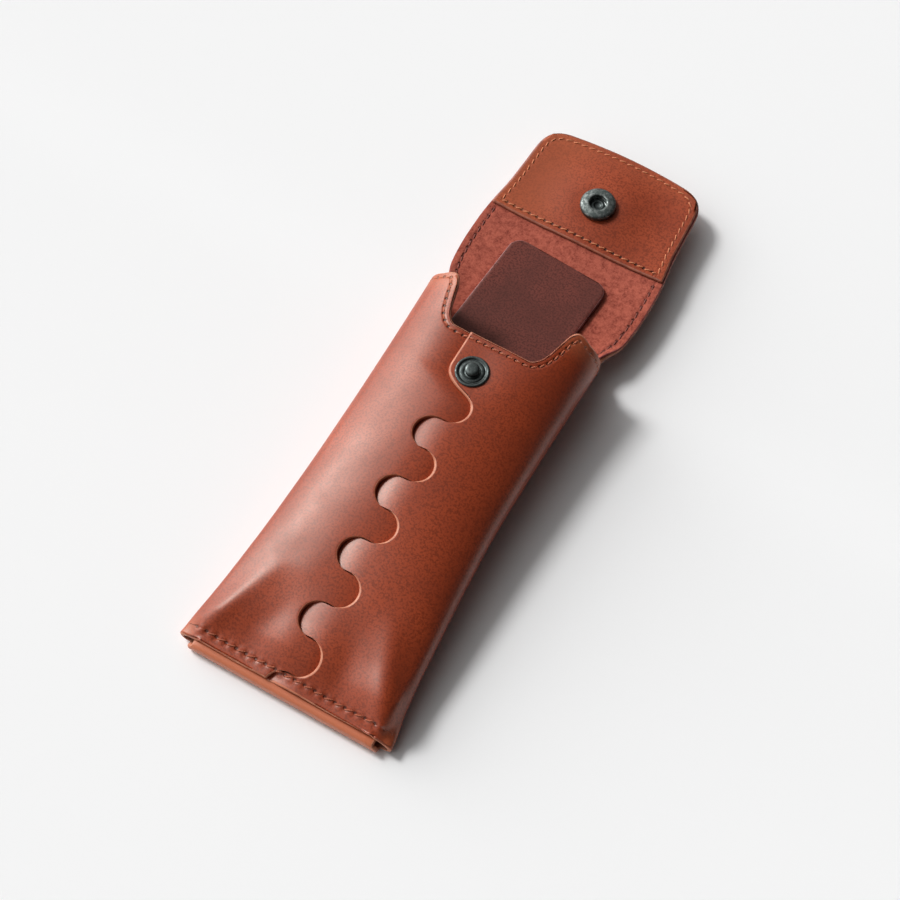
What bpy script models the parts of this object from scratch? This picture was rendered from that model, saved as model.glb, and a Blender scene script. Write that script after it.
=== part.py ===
"""Leather watch pouch with interlocking scalloped front, snap flap and loose insert, lying on its back.

Built in millimetres along the pouch (y = 0 at the bottom edge, +Y towards the flap), then scaled to metres
and centred on its box. The flap is drawn flat in its own (x, u, v): u runs from the root fold, v up.
"""

import math

import bmesh
import bpy
import numpy as np

MM = 0.001

# Sheets
LEATHER = 1.5
SUEDE = 0.8
FACING = 1.1
INSERT = 1.8
PLY_GAP = 0.12
EDGE_GAP = 0.15

# Bottom tab
TAB_OUTER_RADIUS = 2.55
TAB_HALF_WIDTH = 37.2
TAB_LEAF = 7.2
TAB_CHAMFER = 1.6
TAB_TOP = 2 * TAB_OUTER_RADIUS

# Pouch body, by distance y from the bottom edge
BODY_TABLE = (
    # y, half width, height, flat half width of the front, flat half width of the back
    (0.0, 41.6, TAB_TOP + 1.8, 37.8, 37.8),
    (4.0, 41.1, TAB_TOP + 2.2, 34.0, 36.0),
    (8.0, 40.4, 9.2, 28.0, 34.4),
    (12.0, 39.6, 11.3, 23.0, 32.6),
    (24.0, 37.8, 15.0, 14.0, 29.5),
    (40.0, 36.2, 18.4, 8.0, 28.0),
    (60.0, 34.9, 21.5, 6.0, 26.8),
    (85.0, 34.1, 24.3, 6.0, 26.0),
    (110.0, 34.0, 26.0, 8.0, 26.0),
    (130.0, 34.2, 27.0, 12.0, 26.2),
    (162.0, 34.7, 28.6, 16.0, 26.8),
)
FRONT_POWER = 2.3
BACK_POWER = 2.2
DISH_TABLE = ((0.0, 0.0), (100.0, 0.0), (112.0, 0.3), (125.0, 1.0), (140.0, 2.7), (162.0, 3.0))
DISH_HALF_WIDTH = 24.0

# Interlocking seam of the two wings
SEAM_PITCH = 24.9
FIRST_RIGHT_BULGE = 11.3
RIGHT_BULGES = 5
NOTCH_DEPTH = 7.0
TONGUE_REACH = 11.5
SEAM_CLEAR = 0.25
LOBE_STEPS = 6
LEVEL_GAP = 0.35
CROSSING = 3.0
SNAP_EDGE_X = -8.4
UNDER_EDGE_X = 9.5
LAST_RIGHT_BULGE = FIRST_RIGHT_BULGE + (RIGHT_BULGES - 1) * SEAM_PITCH

# Mouth of the pouch
STUD_PAST_SEAM = 14.8
NOTCH_PAST_STUD = 13.8
STUD_Y = LAST_RIGHT_BULGE + STUD_PAST_SEAM
NOTCH_Y = STUD_Y + NOTCH_PAST_STUD
NOTCH_EDGE = (
    (13.5, 0.0), (15.8, 0.3), (18.2, 2.7), (19.6, 5.7), (21.1, 10.7), (22.3, 14.9), (23.8, 17.1), (26.0, 17.7),
)
SHOULDER_Y = NOTCH_Y + NOTCH_EDGE[-1][1]
SIDE_START_X = NOTCH_EDGE[-1][0] + 4
MOUTH_STEPS = (0.10, 0.22, 0.36, 0.50, 0.63, 0.75, 0.86, 0.94, 1.0)

# Lining
LINING_START = 9.5
LINING_FRONT_X = 16.5
LINING_GAP = 0.25
LINING_BELOW_EDGE = 0.6

# Flap: widths by distance from the root fold, then by distance past the socket
HINGE_PAST_SHOULDER = 2.8
SOCKET_BEYOND = 26.0
FACING_BELOW_SOCKET = 15.5
FLAP_ROOT = ((0.0, 29.0), (3.0, 33.4), (10.0, 36.4), (22.0, 37.0))
FLAP_END = ((-24.3, 37.0), (-15.3, 36.3), (-5.3, 35.0), (5.7, 34.3))
FLAP_TIP = ((14.7, 33.7), (18.7, 32.9), (21.7, 31.1), (23.7, 28.3), (24.9, 24.0), (26.0, 13.0), (26.4, 0.0))
HINGE_Y = SHOULDER_Y + HINGE_PAST_SHOULDER
SOCKET_U = HINGE_Y - STUD_Y + SOCKET_BEYOND

# Snap
STUD_RADIUS = 6.15
STUD_HEIGHT = 0.9
KNOB_RADIUS = 2.6
KNOB_HEIGHT = 1.9
STUD_SEAT = 0.35
SOCKET_RADIUS = 6.7
SOCKET_HEIGHT = 2.7
SOCKET_BORE = 3.0
CAP_RADIUS = 7.5
CAP_HEIGHT = 1.6
POST_RADIUS = 1.9
HOLE_RADIUS = 2.3
EYELET_RADIUS = 5.0
EYELET_HEIGHT = 0.8
FLOOR_GAP = 0.1
SNAP_GAP = 0.1

# Insert
INSERT_HALF_WIDTH = 20.5
INSERT_IN_POUCH = 72.0
INSERT_REACH = 24.3
INSERT_CORNER = 5.0
INSERT_FOLD = 2.4

# Levels in the flap's stack
SUEDE_V = LEATHER + LINING_GAP
AXIS_V = SUEDE_V + SUEDE + 0.05
FACING_V = SUEDE_V + SUEDE + PLY_GAP
SOCKET_V = FACING_V + FACING + PLY_GAP
DROP = LEATHER + LEVEL_GAP
TILT = math.asin((CAP_HEIGHT + PLY_GAP + FLOOR_GAP) / SOCKET_U)
HALF_LOBE = SEAM_PITCH / 4


def smooth(t):
    t = min(max(t, 0.0), 1.0)
    return t * t * (3 - 2 * t)


def table(rows, column, at):
    """Cubic through the rows of a table, flat-ended."""
    xs = [row[0] for row in rows]
    ys = [row[column] for row in rows]
    at = min(max(at, xs[0]), xs[-1])
    i = min(max(int(np.searchsorted(xs, at)) - 1, 0), len(xs) - 2)

    def slope(k):
        low, high = max(k - 1, 0), min(k + 1, len(xs) - 1)
        return (ys[high] - ys[low]) / (xs[high] - xs[low])

    span = xs[i + 1] - xs[i]
    t = (at - xs[i]) / span
    return (
        (2 * t**3 - 3 * t**2 + 1) * ys[i]
        + (t**3 - 2 * t**2 + t) * span * slope(i)
        + (3 * t**2 - 2 * t**3) * ys[i + 1]
        + (t**3 - t**2) * span * slope(i + 1)
    )


def body(y):
    return [table(BODY_TABLE, column, y) for column in (1, 2, 3, 4)]


def front_height(x, y):
    width, height, flat, _ = body(y)
    middle = height / 2
    q = min(max((abs(x) - flat) / (width - flat), 0.0), 1.0)
    z = middle + (height - middle) * (1 - q**FRONT_POWER) ** (1 / FRONT_POWER)
    dish = max(1 - (x / DISH_HALF_WIDTH) ** 2, 0.0) ** 2
    return z - table(DISH_TABLE, 1, y) * dish


PROFILES = {}


def half_profile(y):
    """The outside of the right half at y, from the middle of the front to the middle of the back."""
    key = round(y, 3)
    if key in PROFILES:
        return PROFILES[key]
    width, height, flat, back = body(y)
    middle = height / 2
    turn = np.linspace(0, math.pi / 2, 40)
    bend = np.sin(turn) ** (2 / FRONT_POWER) * (width - flat) + flat
    xs = np.concatenate([np.linspace(0, flat, 12)[:-1], bend])
    zs = np.array([front_height(x, y) for x in xs])
    zs[len(xs) - 1] = middle
    under = np.cos(turn[1:]) ** (2 / BACK_POWER) * (width - back) + back
    low = middle - middle * np.sin(turn[1:]) ** (2 / BACK_POWER)
    path = np.array(
        list(zip(xs, zs)) + list(zip(under, low)) + [(x, 0.0) for x in np.linspace(back, 0, 10)[1:]]
    )
    length = np.concatenate([[0], np.cumsum(np.hypot(*np.diff(path, axis=0).T))])
    tangent = np.gradient(path, length, axis=0)
    tangent /= np.linalg.norm(tangent, axis=1)[:, None]
    normal = np.stack([-tangent[:, 1], tangent[:, 0]], 1)
    PROFILES[key] = (path, length, normal, len(xs) - 1, len(xs) - 1 + len(under))
    return PROFILES[key]


def on_profile(y, at):
    """Point and outward normal at an arc length of the half profile."""
    path, length, normal, _, _ = half_profile(y)
    point = [np.interp(at, length, path[:, k]) for k in (0, 1)]
    out = np.array([np.interp(at, length, normal[:, k]) for k in (0, 1)])
    return np.array(point), out / np.linalg.norm(out)


def arc_at_x(y, x):
    """Arc length of the front at x."""
    path, length, _, side, _ = half_profile(y)
    return float(np.interp(x, path[: side + 1, 0], length[: side + 1]))


def arc_round_side(y, start_x, part):
    """Arc length at this part of the way from x on the front, round the side, to the flat of the back."""
    _, length, _, _, back = half_profile(y)
    start = arc_at_x(y, start_x)
    return start + (length[back] - start) * part


def arc_on_back(y, part):
    _, length, _, _, back = half_profile(y)
    return length[back] + (length[-1] - length[back]) * part


def mouth_edge(x):
    """How far up the front leather reaches at x."""
    x = abs(x)
    if x <= NOTCH_EDGE[0][0]:
        return NOTCH_Y
    rise = np.interp(x, [p[0] for p in NOTCH_EDGE], [p[1] for p in NOTCH_EDGE])
    return min(NOTCH_Y + rise, SHOULDER_Y)


def new_object(name, verts, faces, hidden=False):
    mesh = bpy.data.meshes.new(name)
    mesh.from_pydata([tuple(c * MM for c in v) for v in verts], [], faces)
    mesh.update()
    work = bmesh.new()
    work.from_mesh(mesh)
    bmesh.ops.remove_doubles(work, verts=work.verts, dist=1e-7)
    bmesh.ops.recalc_face_normals(work, faces=work.faces)
    work.to_mesh(mesh)
    work.free()
    obj = bpy.data.objects.new(name, mesh)
    bpy.context.scene.collection.objects.link(obj)
    if hidden:
        obj.hide_render = True
        obj.display_type = "WIRE"
    return obj


def cut(obj, cutter):
    modifier = obj.modifiers.new("cut", "BOOLEAN")
    modifier.operation = "DIFFERENCE"
    modifier.solver = "EXACT"
    modifier.object = cutter


def sheet(name, outer, inner):
    """A closed body between two grids of points that share their rows and columns."""
    rows, columns = len(outer), len(outer[0])
    verts = [p for row in outer for p in row] + [p for row in inner for p in row]
    below = rows * columns

    def at(r, c, side=0):
        return r * columns + c + side * below

    faces = []
    for r in range(rows - 1):
        for c in range(columns - 1):
            faces.append((at(r, c), at(r, c + 1), at(r + 1, c + 1), at(r + 1, c)))
            faces.append((at(r, c, 1), at(r + 1, c, 1), at(r + 1, c + 1, 1), at(r, c + 1, 1)))
    for r in range(rows - 1):
        for c in (0, columns - 1):
            faces.append((at(r, c), at(r + 1, c), at(r + 1, c, 1), at(r, c, 1)))
    for c in range(columns - 1):
        for r in (0, rows - 1):
            faces.append((at(r, c), at(r, c + 1), at(r, c + 1, 1), at(r, c, 1)))
    return new_object(name, verts, faces)


# Seam of the wings


def lobes():
    """(kind, centre y) from the bottom edge up. Kind +1 points right, -1 points left."""
    first_left = FIRST_RIGHT_BULGE - SEAM_PITCH / 2
    found = [(-1, first_left)]
    for k in range(RIGHT_BULGES):
        found.append((1, FIRST_RIGHT_BULGE + k * SEAM_PITCH))
        if k < RIGHT_BULGES - 1:
            found.append((-1, first_left + (k + 1) * SEAM_PITCH))
    return found


def notch_point(kind, centre, part):
    turn = math.pi * part
    return kind * NOTCH_DEPTH * math.sin(turn), centre - (HALF_LOBE + SEAM_CLEAR) * math.cos(turn)


def tongue_point(kind, centre, part):
    half = HALF_LOBE - SEAM_CLEAR
    reach = (0, 0.39, 0.83, 1, 0.83, 0.39, 0)
    across = (-half, -half + 0.85, -half + 2.2, 0, half - 2.2, half - 0.85, half)
    steps = np.linspace(0, 1, 7)
    return (
        kind * TONGUE_REACH * float(np.interp(part, steps, reach)),
        centre + float(np.interp(part, steps, across)),
    )


def seam_rows():
    """Rows of the seam: (y away from the seam, left wing's edge, right wing's edge)."""
    rows = []
    for index, (kind, centre) in enumerate(lobes()):
        steps = [i / LOBE_STEPS for i in range(LOBE_STEPS + 1)]
        if index == 0:
            opening = 0.5 + math.asin(-centre / HALF_LOBE) / math.pi
            steps = [opening + (1 - opening) * i / 3 for i in range(4)]
        else:
            steps = steps[1:]
        for part in steps:
            y = centre + HALF_LOBE * (2 * part - 1)
            notch = notch_point(kind, centre, part)
            tongue = tongue_point(kind, centre, part)
            if index == 0 and part == steps[0]:
                y, notch, tongue = 0.0, (notch[0], 0.0), (tongue[0], 0.0)
            left, right = (tongue, notch) if kind > 0 else (notch, tongue)
            if centre == lobes()[-1][1] and part > 0.5:
                left = (TONGUE_REACH + (UNDER_EDGE_X - TONGUE_REACH) * (2 * part - 1), y)
            rows.append((y, left, right))
    return rows


def left_level(x, y):
    centre = (SNAP_EDGE_X - CROSSING - 0.4) * smooth((y - LAST_RIGHT_BULGE + 3.9) / 8)
    return lift(x, y) - DROP * smooth((x - centre + CROSSING) / (2 * CROSSING))


def right_level(x, y):
    below_snap = 1 - smooth((y - LAST_RIGHT_BULGE + 5.4) / 7.5)
    return lift(x, y) - DROP * smooth((CROSSING - x) / (2 * CROSSING)) * below_snap


def lift(x, y):
    """At the bottom edge the overlap stands proud, as the tab fills the space under it."""
    return DROP * (1 - smooth((y - TAB_LEAF) / 9)) * (1 - smooth((abs(x) - 9) / 7))


WING_STEPS = (8.6, CROSSING, 0.0, -CROSSING)
SIDE_PARTS = (0.16, 0.32, 0.5, 0.68, 0.85)


def wing_columns(side, edge, y_out):
    """(x, y) from the free edge of one wing out to its last fixed column. side -1 is the left wing."""
    joint = NOTCH_EDGE[0][0]
    x_edge, y_edge = edge[0] * side, edge[1]
    found = [(x_edge, y_edge)]
    for n, target in enumerate(reversed(WING_STEPS), 1):
        x = max(target, x_edge + 0.8 * n)
        part = (x - x_edge) / (joint - x_edge)
        found.append((x, y_edge + (y_out - y_edge) * part))
    return [(side * x, y) for x, y in found]


def shell_half(side, y_of):
    """Points and normals of one half row, from the wing's free edge to the middle of the back."""
    edge, y_out, level = y_of["edge"], y_of["out"], y_of["level"]
    outer, normals = [], []

    def add(at, y, lifted):
        point, out = on_profile(y, at)
        point = point + out * lifted
        outer.append((side * point[0], y, point[1]))
        normals.append((side * out[0], 0.0, out[1]))

    for x, y in wing_columns(side, edge, y_out(NOTCH_Y)):
        z = front_height(x, y)
        slope = (front_height(x + 0.2, y) - front_height(x - 0.2, y)) / 0.4
        out = np.array([-slope, 1.0]) / math.hypot(slope, 1.0)
        lifted = level(x, y)
        outer.append((x + out[0] * lifted, y, z + out[1] * lifted))
        normals.append((out[0], 0.0, out[1]))
    for x in [p[0] for p in NOTCH_EDGE] + [SIDE_START_X]:
        y = y_out(mouth_edge(x))
        add(arc_at_x(y, x), y, level(side * x, y))
    for part in SIDE_PARTS:
        top = SHOULDER_Y + (HINGE_Y - EDGE_GAP - SHOULDER_Y) * smooth((part - 0.6) / 0.5)
        y = y_out(top)
        add(arc_round_side(y, SIDE_START_X, part), y, 0.0)
    y = y_out(HINGE_Y - EDGE_GAP)
    for part in (0.0, 0.5):
        add(arc_on_back(y, part), y, 0.0)
    return outer, normals


def outer_shell():
    rows = []
    seam = seam_rows()
    for y, left, right in seam:
        rows.append((lambda top, y=y: y, left, right))
    start = seam[-1][0]
    turn_in = [(0.55, 0.05), (0.92, 0.16), (1.0, 0.32)]
    for n, part in enumerate(MOUTH_STEPS):
        y_free = start + (NOTCH_Y - start) * part
        right = (SNAP_EDGE_X * (turn_in[n][0] if n < 3 else 1.0), y_free - (0.6 if n == 0 else 0.4 * (n < 3)))
        rows.append((lambda top, part=part: start + (top - start) * part, (UNDER_EDGE_X, y_free), right))
    outer, inner = [], []
    for y_out, left, right in rows:
        halves = []
        for side, edge, level in ((-1, left, left_level), (1, right, right_level)):
            halves.append(shell_half(side, {"edge": edge, "out": y_out, "level": level}))
        y_back = y_out(HINGE_Y - EDGE_GAP)
        points = halves[0][0] + [(0.0, y_back, 0.0)] + halves[1][0][::-1]
        normals = halves[0][1] + [(0.0, 0.0, -1.0)] + halves[1][1][::-1]
        outer.append(points)
        inner.append([tuple(p - n * LEATHER for p, n in zip(a, b)) for a, b in zip(points, normals)])
    shell = sheet("outer_shell", outer, inner)
    cut(shell, drill("shell_drill", STUD_Y, front_height(0, STUD_Y) - 8, front_height(0, STUD_Y) + 4))
    return shell


def pouch_lining():
    depth = SUEDE_V
    fronts = [LINING_FRONT_X] + [p[0] for p in NOTCH_EDGE if p[0] > LINING_FRONT_X + 1] + [SIDE_START_X]
    outer, inner = [], []
    for part in np.linspace(0, 1, 18) ** 1.4:
        half = []
        for x in fronts:
            y = LINING_START + (mouth_edge(x) - LINING_BELOW_EDGE - LINING_START) * part
            half.append((y, arc_at_x(y, x)))
        for step in SIDE_PARTS:
            top = SHOULDER_Y + (HINGE_Y - EDGE_GAP - SHOULDER_Y) * smooth((step - 0.6) / 0.5)
            y = LINING_START + (top - LINING_BELOW_EDGE * (step < 0.6) - LINING_START) * part
            half.append((y, arc_round_side(y, SIDE_START_X, step)))
        y = LINING_START + (HINGE_Y - EDGE_GAP - LINING_START) * part
        half += [(y, arc_on_back(y, 0.0)), (y, arc_on_back(y, 0.5)), (y, arc_on_back(y, 1.0))]
        row_out, row_in = [], []
        for y, at in half:
            point, out = on_profile(y, at)
            a, b = point - out * depth, point - out * (depth + SUEDE)
            row_out.append((a[0], y, a[1]))
            row_in.append((b[0], y, b[1]))
        for row, grid in ((row_out, outer), (row_in, inner)):
            grid.append([(-x, y, z) for x, y, z in row[:-1]] + [(0.0, row[-1][1], row[-1][2])] + row[-2::-1])
    return sheet("pouch_lining", outer, inner)


def bottom_tab():
    """The strip that turns up round the bottom edge and in between the back and the wings."""
    inner_radius = TAB_OUTER_RADIUS - LEATHER
    start, steps = -EDGE_GAP, 10
    outer = [(start, 0.0)]
    inner = [(start, LEATHER)]
    for i in range(1, steps):
        turn = math.pi * i / steps
        y, z = start - math.sin(turn) * TAB_OUTER_RADIUS, TAB_OUTER_RADIUS * (1 - math.cos(turn))
        outer.append((y, z))
        inner.append((start - math.sin(turn) * inner_radius, TAB_OUTER_RADIUS - inner_radius * math.cos(turn)))
    outer += [(start, TAB_TOP), (TAB_LEAF, TAB_TOP)]
    inner += [(start, TAB_TOP - LEATHER), (TAB_LEAF, TAB_TOP - LEATHER)]
    grids = []
    for line in (outer, inner):
        rows = []
        for n, (y, z) in enumerate(line):
            part = abs(z - TAB_OUTER_RADIUS) / TAB_OUTER_RADIUS if n < steps + 1 else 1.0
            half = TAB_HALF_WIDTH - TAB_CHAMFER * part
            rows.append([(x, y, z) for x in (-half, -half / 2, 0.0, half / 2, half)])
        grids.append(rows)
    return sheet("bottom_tab", grids[0], grids[1])


# Flap


def place(x, u, v):
    """From the flap's own coordinates to the pouch's."""
    up = v - AXIS_V
    return (
        x,
        HINGE_Y + u * math.cos(TILT) - up * math.sin(TILT),
        AXIS_V + u * math.sin(TILT) + up * math.cos(TILT),
    )


def plate(name, outline, low, high, hidden=False):
    """A flat sheet of this outline in (x, u)."""
    count = len(outline)
    verts = [place(x, u, low) for x, u in outline] + [place(x, u, high) for x, u in outline]
    faces = [tuple(reversed(range(count))), tuple(range(count, 2 * count))]
    faces += [(i, (i + 1) % count, (i + 1) % count + count, i + count) for i in range(count)]
    return new_object(name, verts, faces, hidden)


def flap_side(start, end):
    rows = FLAP_ROOT + tuple((SOCKET_U + past, width) for past, width in FLAP_END + FLAP_TIP[:1])
    us = [start] + [u for u in np.arange(2.0, end, 3.0) if start + 0.5 < u < end - 0.5] + [end]
    return [(table(rows, 1, u), float(u)) for u in us]


def tip_end():
    return [(width, SOCKET_U + past) for past, width in FLAP_TIP]


def mirrored(right):
    left = [(-x, u) for x, u in reversed(right) if x > 0]
    return right + left


def insert_outline(start, end, corner):
    half = INSERT_HALF_WIDTH
    right = [(half, start)]
    for i in range(7):
        turn = math.pi / 2 * i / 6
        right.append((half - corner * (1 - math.cos(turn)), end - corner * (1 - math.sin(turn))))
    return mirrored(right)


def closure():
    """Length of the spine and the two fold angles that bring the socket square onto the stud."""
    seat = front_height(0, STUD_Y) + STUD_SEAT + STUD_HEIGHT + SNAP_GAP
    rise = seat + (SOCKET_V + SOCKET_HEIGHT - AXIS_V) - AXIS_V
    back = HINGE_Y - STUD_Y
    tip = (SOCKET_U**2 - back**2 - rise**2) / (2 * (SOCKET_U - back))
    spine = SOCKET_U - tip
    root_angle = math.atan2(rise, tip - back)
    return spine, root_angle - TILT, math.pi - root_angle


SPINE, ROOT_TURN, FOLD_TURN = closure()


def flap():
    fold_low, fold_high = SPINE - EDGE_GAP, SPINE + EDGE_GAP
    straight = SOCKET_U + FLAP_END[-1][0]
    root = mirrored(flap_side(EDGE_GAP, fold_low))
    tip = mirrored(flap_side(fold_high, straight) + tip_end())
    facing = mirrored(flap_side(SOCKET_U - FACING_BELOW_SOCKET, straight) + tip_end())
    plate("flap_spine_leather", root, 0.0, LEATHER)
    plate("flap_spine_suede", root, SUEDE_V, SUEDE_V + SUEDE)
    for name, outline, low, thick in (
        ("flap_tip_leather", tip, 0.0, LEATHER),
        ("flap_tip_suede", tip, SUEDE_V, SUEDE),
        ("flap_facing", facing, FACING_V, FACING),
    ):
        cut(plate(name, outline, low, low + thick), flap_drill(name + "_drill", low - 2, low + thick + 2))


def insert():
    base = insert_outline(HINGE_Y - INSERT_IN_POUCH, HINGE_Y - INSERT_FOLD, 1.0)
    low, high = SUEDE_V + SUEDE + PLY_GAP, SUEDE_V + SUEDE + PLY_GAP + INSERT
    count = len(base)
    verts = [(x, y, low) for x, y in base] + [(x, y, high) for x, y in base]
    faces = [tuple(reversed(range(count))), tuple(range(count, 2 * count))]
    faces += [(i, (i + 1) % count, (i + 1) % count + count, i + count) for i in range(count)]
    new_object("insert_body", verts, faces)
    plate("insert_end", insert_outline(0.6, INSERT_REACH, INSERT_CORNER), low, high)


# Snap


def lathe(name, profile, put, steps=36, hidden=False):
    """Turns a closed (radius, height) outline; put maps (x, distance along, height) to the pouch."""
    verts, faces, rings = [], [], []
    for radius, height in profile:
        if radius < 1e-6:
            rings.append([len(verts)] * steps)
            verts.append(put(0.0, 0.0, height))
            continue
        rings.append(list(range(len(verts), len(verts) + steps)))
        for i in range(steps):
            turn = 2 * math.pi * i / steps
            verts.append(put(radius * math.cos(turn), radius * math.sin(turn), height))
    for a, b in zip(rings, rings[1:] + rings[:1]):
        for i in range(steps):
            j = (i + 1) % steps
            face = [a[i], a[j], b[j], b[i]]
            face = [v for n, v in enumerate(face) if v not in face[:n]]
            if len(face) > 2:
                faces.append(face)
    return new_object(name, verts, faces, hidden)


def on_front(x, along, height):
    return x, STUD_Y + along, front_height(0, STUD_Y) + height


def on_flap(x, along, height):
    return place(x, SOCKET_U + along, height)


def drill(name, y, low, high):
    return lathe(
        name,
        [(0, low), (HOLE_RADIUS, low), (HOLE_RADIUS, high), (0, high)],
        lambda x, along, height: (x, y + along, height),
        24,
        True,
    )


def flap_drill(name, low, high):
    return lathe(name, [(0, low), (HOLE_RADIUS, low), (HOLE_RADIUS, high), (0, high)], on_flap, 24, True)


def snap():
    seat = STUD_SEAT
    top = seat + STUD_HEIGHT
    bore = POST_RADIUS + 0.25
    lathe(
        "snap_stud",
        [
            (bore, seat),
            (STUD_RADIUS - 0.3, seat),
            (STUD_RADIUS, seat + 0.3),
            (STUD_RADIUS, top - 0.25),
            (STUD_RADIUS - 0.3, top),
            (STUD_RADIUS - 1.3, top),
            (STUD_RADIUS - 1.7, top - 0.3),
            (KNOB_RADIUS + 0.3, top - 0.3),
            (KNOB_RADIUS - 0.3, top),
            (KNOB_RADIUS - 0.3, top + 0.5 * KNOB_HEIGHT),
            (KNOB_RADIUS, top + 0.75 * KNOB_HEIGHT),
            (KNOB_RADIUS - 0.3, top + KNOB_HEIGHT - 0.2),
            (KNOB_RADIUS - 0.9, top + KNOB_HEIGHT),
            (0.0, top + KNOB_HEIGHT),
            (0.0, top + 0.3),
            (bore, top + 0.3),
        ],
        on_front,
    )
    under = -DROP - LEATHER - STUD_SEAT
    lathe(
        "snap_eyelet",
        [
            (0.0, under - EYELET_HEIGHT),
            (EYELET_RADIUS - 0.4, under - EYELET_HEIGHT),
            (EYELET_RADIUS, under - EYELET_HEIGHT + 0.3),
            (EYELET_RADIUS, under),
            (POST_RADIUS, under),
            (POST_RADIUS, top + 0.1),
            (0.0, top + 0.1),
        ],
        on_front,
    )
    base, face = SOCKET_V, SOCKET_V + SOCKET_HEIGHT
    lathe(
        "snap_socket",
        [
            (HOLE_RADIUS, base),
            (SOCKET_RADIUS - 0.4, base),
            (SOCKET_RADIUS, base + 0.4),
            (SOCKET_RADIUS, face - 0.5),
            (SOCKET_RADIUS - 0.5, face),
            (SOCKET_BORE + 0.6, face),
            (SOCKET_BORE, face - 0.5),
            (SOCKET_BORE, face - 0.85),
            (SOCKET_BORE + 0.7, face - 0.85),
            (SOCKET_BORE + 0.7, face - 1.55),
            (SOCKET_BORE, face - 1.55),
            (SOCKET_BORE, base + 0.35),
            (HOLE_RADIUS, base + 0.35),
        ],
        on_flap,
    )
    ring = [
        (SOCKET_BORE + 0.2 + 0.25 * math.cos(t), face - 1.2 + 0.25 * math.sin(t))
        for t in np.linspace(0, 2 * math.pi, 9)[:-1]
    ]
    lathe("snap_spring", ring, on_flap)
    roll = base + 0.35 + 0.1
    lathe(
        "snap_cap",
        [
            (0.0, -PLY_GAP - CAP_HEIGHT),
            (CAP_RADIUS * 0.45, -PLY_GAP - CAP_HEIGHT * 0.96),
            (CAP_RADIUS * 0.75, -PLY_GAP - CAP_HEIGHT * 0.78),
            (CAP_RADIUS * 0.93, -PLY_GAP - CAP_HEIGHT * 0.45),
            (CAP_RADIUS, -PLY_GAP - CAP_HEIGHT * 0.2),
            (CAP_RADIUS, -PLY_GAP),
            (POST_RADIUS, -PLY_GAP),
            (POST_RADIUS, roll),
            (SOCKET_BORE - 0.3, roll),
            (SOCKET_BORE - 0.5, roll + 0.3),
            (POST_RADIUS - 0.3, roll + 0.35),
            (POST_RADIUS - 0.8, roll - 0.2),
            (0.0, roll - 0.2),
        ],
        on_flap,
    )


def centre_on_box():
    """Moves everything so that the middle of the box's underside is the origin."""
    bpy.context.view_layer.update()
    shown = [obj for obj in bpy.data.objects if not obj.hide_render]
    corners = np.array([v.co[:] for obj in shown for v in obj.data.vertices])
    low, high = corners.min(axis=0), corners.max(axis=0)
    shift = np.array([-(low[0] + high[0]) / 2, -(low[1] + high[1]) / 2, -low[2]])
    for obj in bpy.data.objects:
        for vertex in obj.data.vertices:
            vertex.co = tuple(np.array(vertex.co) + shift)
        obj.data.update()
    return shift


def main():
    for obj in list(bpy.data.objects):
        bpy.data.objects.remove(obj, do_unlink=True)
    outer_shell()
    pouch_lining()
    bottom_tab()
    flap()
    insert()
    snap()
    shift = centre_on_box()
    fold_y, fold_z = place(0, SPINE, AXIS_V)[1:]
    print("shift mm", [round(float(s) / MM, 3) for s in shift])
    print("root axis mm", round(HINGE_Y + shift[1] / MM, 3), round(AXIS_V + shift[2] / MM, 3))
    print("fold axis mm", round(fold_y + shift[1] / MM, 3), round(fold_z + shift[2] / MM, 3))
    print("spine mm", round(SPINE, 3), "tilt", round(math.degrees(TILT), 3))
    print("root range", round(math.degrees(ROOT_TURN), 2), "fold range", round(math.degrees(FOLD_TURN), 2))
    print("stud mm", round(STUD_Y + shift[1] / MM, 3), "front z", round(front_height(0, STUD_Y), 3))


main()
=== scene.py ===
import math

import bpy
import numpy as np
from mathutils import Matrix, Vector
from mathutils.bvhtree import BVHTree


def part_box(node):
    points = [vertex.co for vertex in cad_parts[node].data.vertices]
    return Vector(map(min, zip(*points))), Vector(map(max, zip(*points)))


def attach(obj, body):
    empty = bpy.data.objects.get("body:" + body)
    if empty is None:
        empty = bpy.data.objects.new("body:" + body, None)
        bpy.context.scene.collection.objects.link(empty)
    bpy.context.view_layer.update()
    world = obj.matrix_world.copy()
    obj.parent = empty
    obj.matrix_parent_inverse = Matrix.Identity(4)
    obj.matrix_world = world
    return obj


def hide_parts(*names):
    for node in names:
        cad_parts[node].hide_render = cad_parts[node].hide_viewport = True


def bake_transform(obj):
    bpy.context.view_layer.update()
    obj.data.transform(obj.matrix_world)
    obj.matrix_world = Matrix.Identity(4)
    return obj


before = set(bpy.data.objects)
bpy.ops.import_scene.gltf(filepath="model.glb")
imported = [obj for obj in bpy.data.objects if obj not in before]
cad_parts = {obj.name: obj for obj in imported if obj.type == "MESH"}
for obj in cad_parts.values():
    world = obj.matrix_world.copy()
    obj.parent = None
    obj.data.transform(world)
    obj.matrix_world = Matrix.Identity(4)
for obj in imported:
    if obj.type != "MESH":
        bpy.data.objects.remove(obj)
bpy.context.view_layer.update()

# Lengths are in millimetres, along the pouch from its bottom edge, and put into the frame at the end
MM = 0.001
BOTTOM_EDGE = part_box("outer_shell")[0].y / MM

# Sheets
LEATHER = 1.5
SUEDE = 0.8
FACING = 1.1
INSERT = 1.8
PLY_GAP = 0.12
LINING_GAP = 0.25
SUEDE_V = LEATHER + LINING_GAP
AXIS_V = SUEDE_V + SUEDE + 0.05
FACING_V = SUEDE_V + SUEDE + PLY_GAP
SOCKET_V = FACING_V + FACING + PLY_GAP

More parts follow.
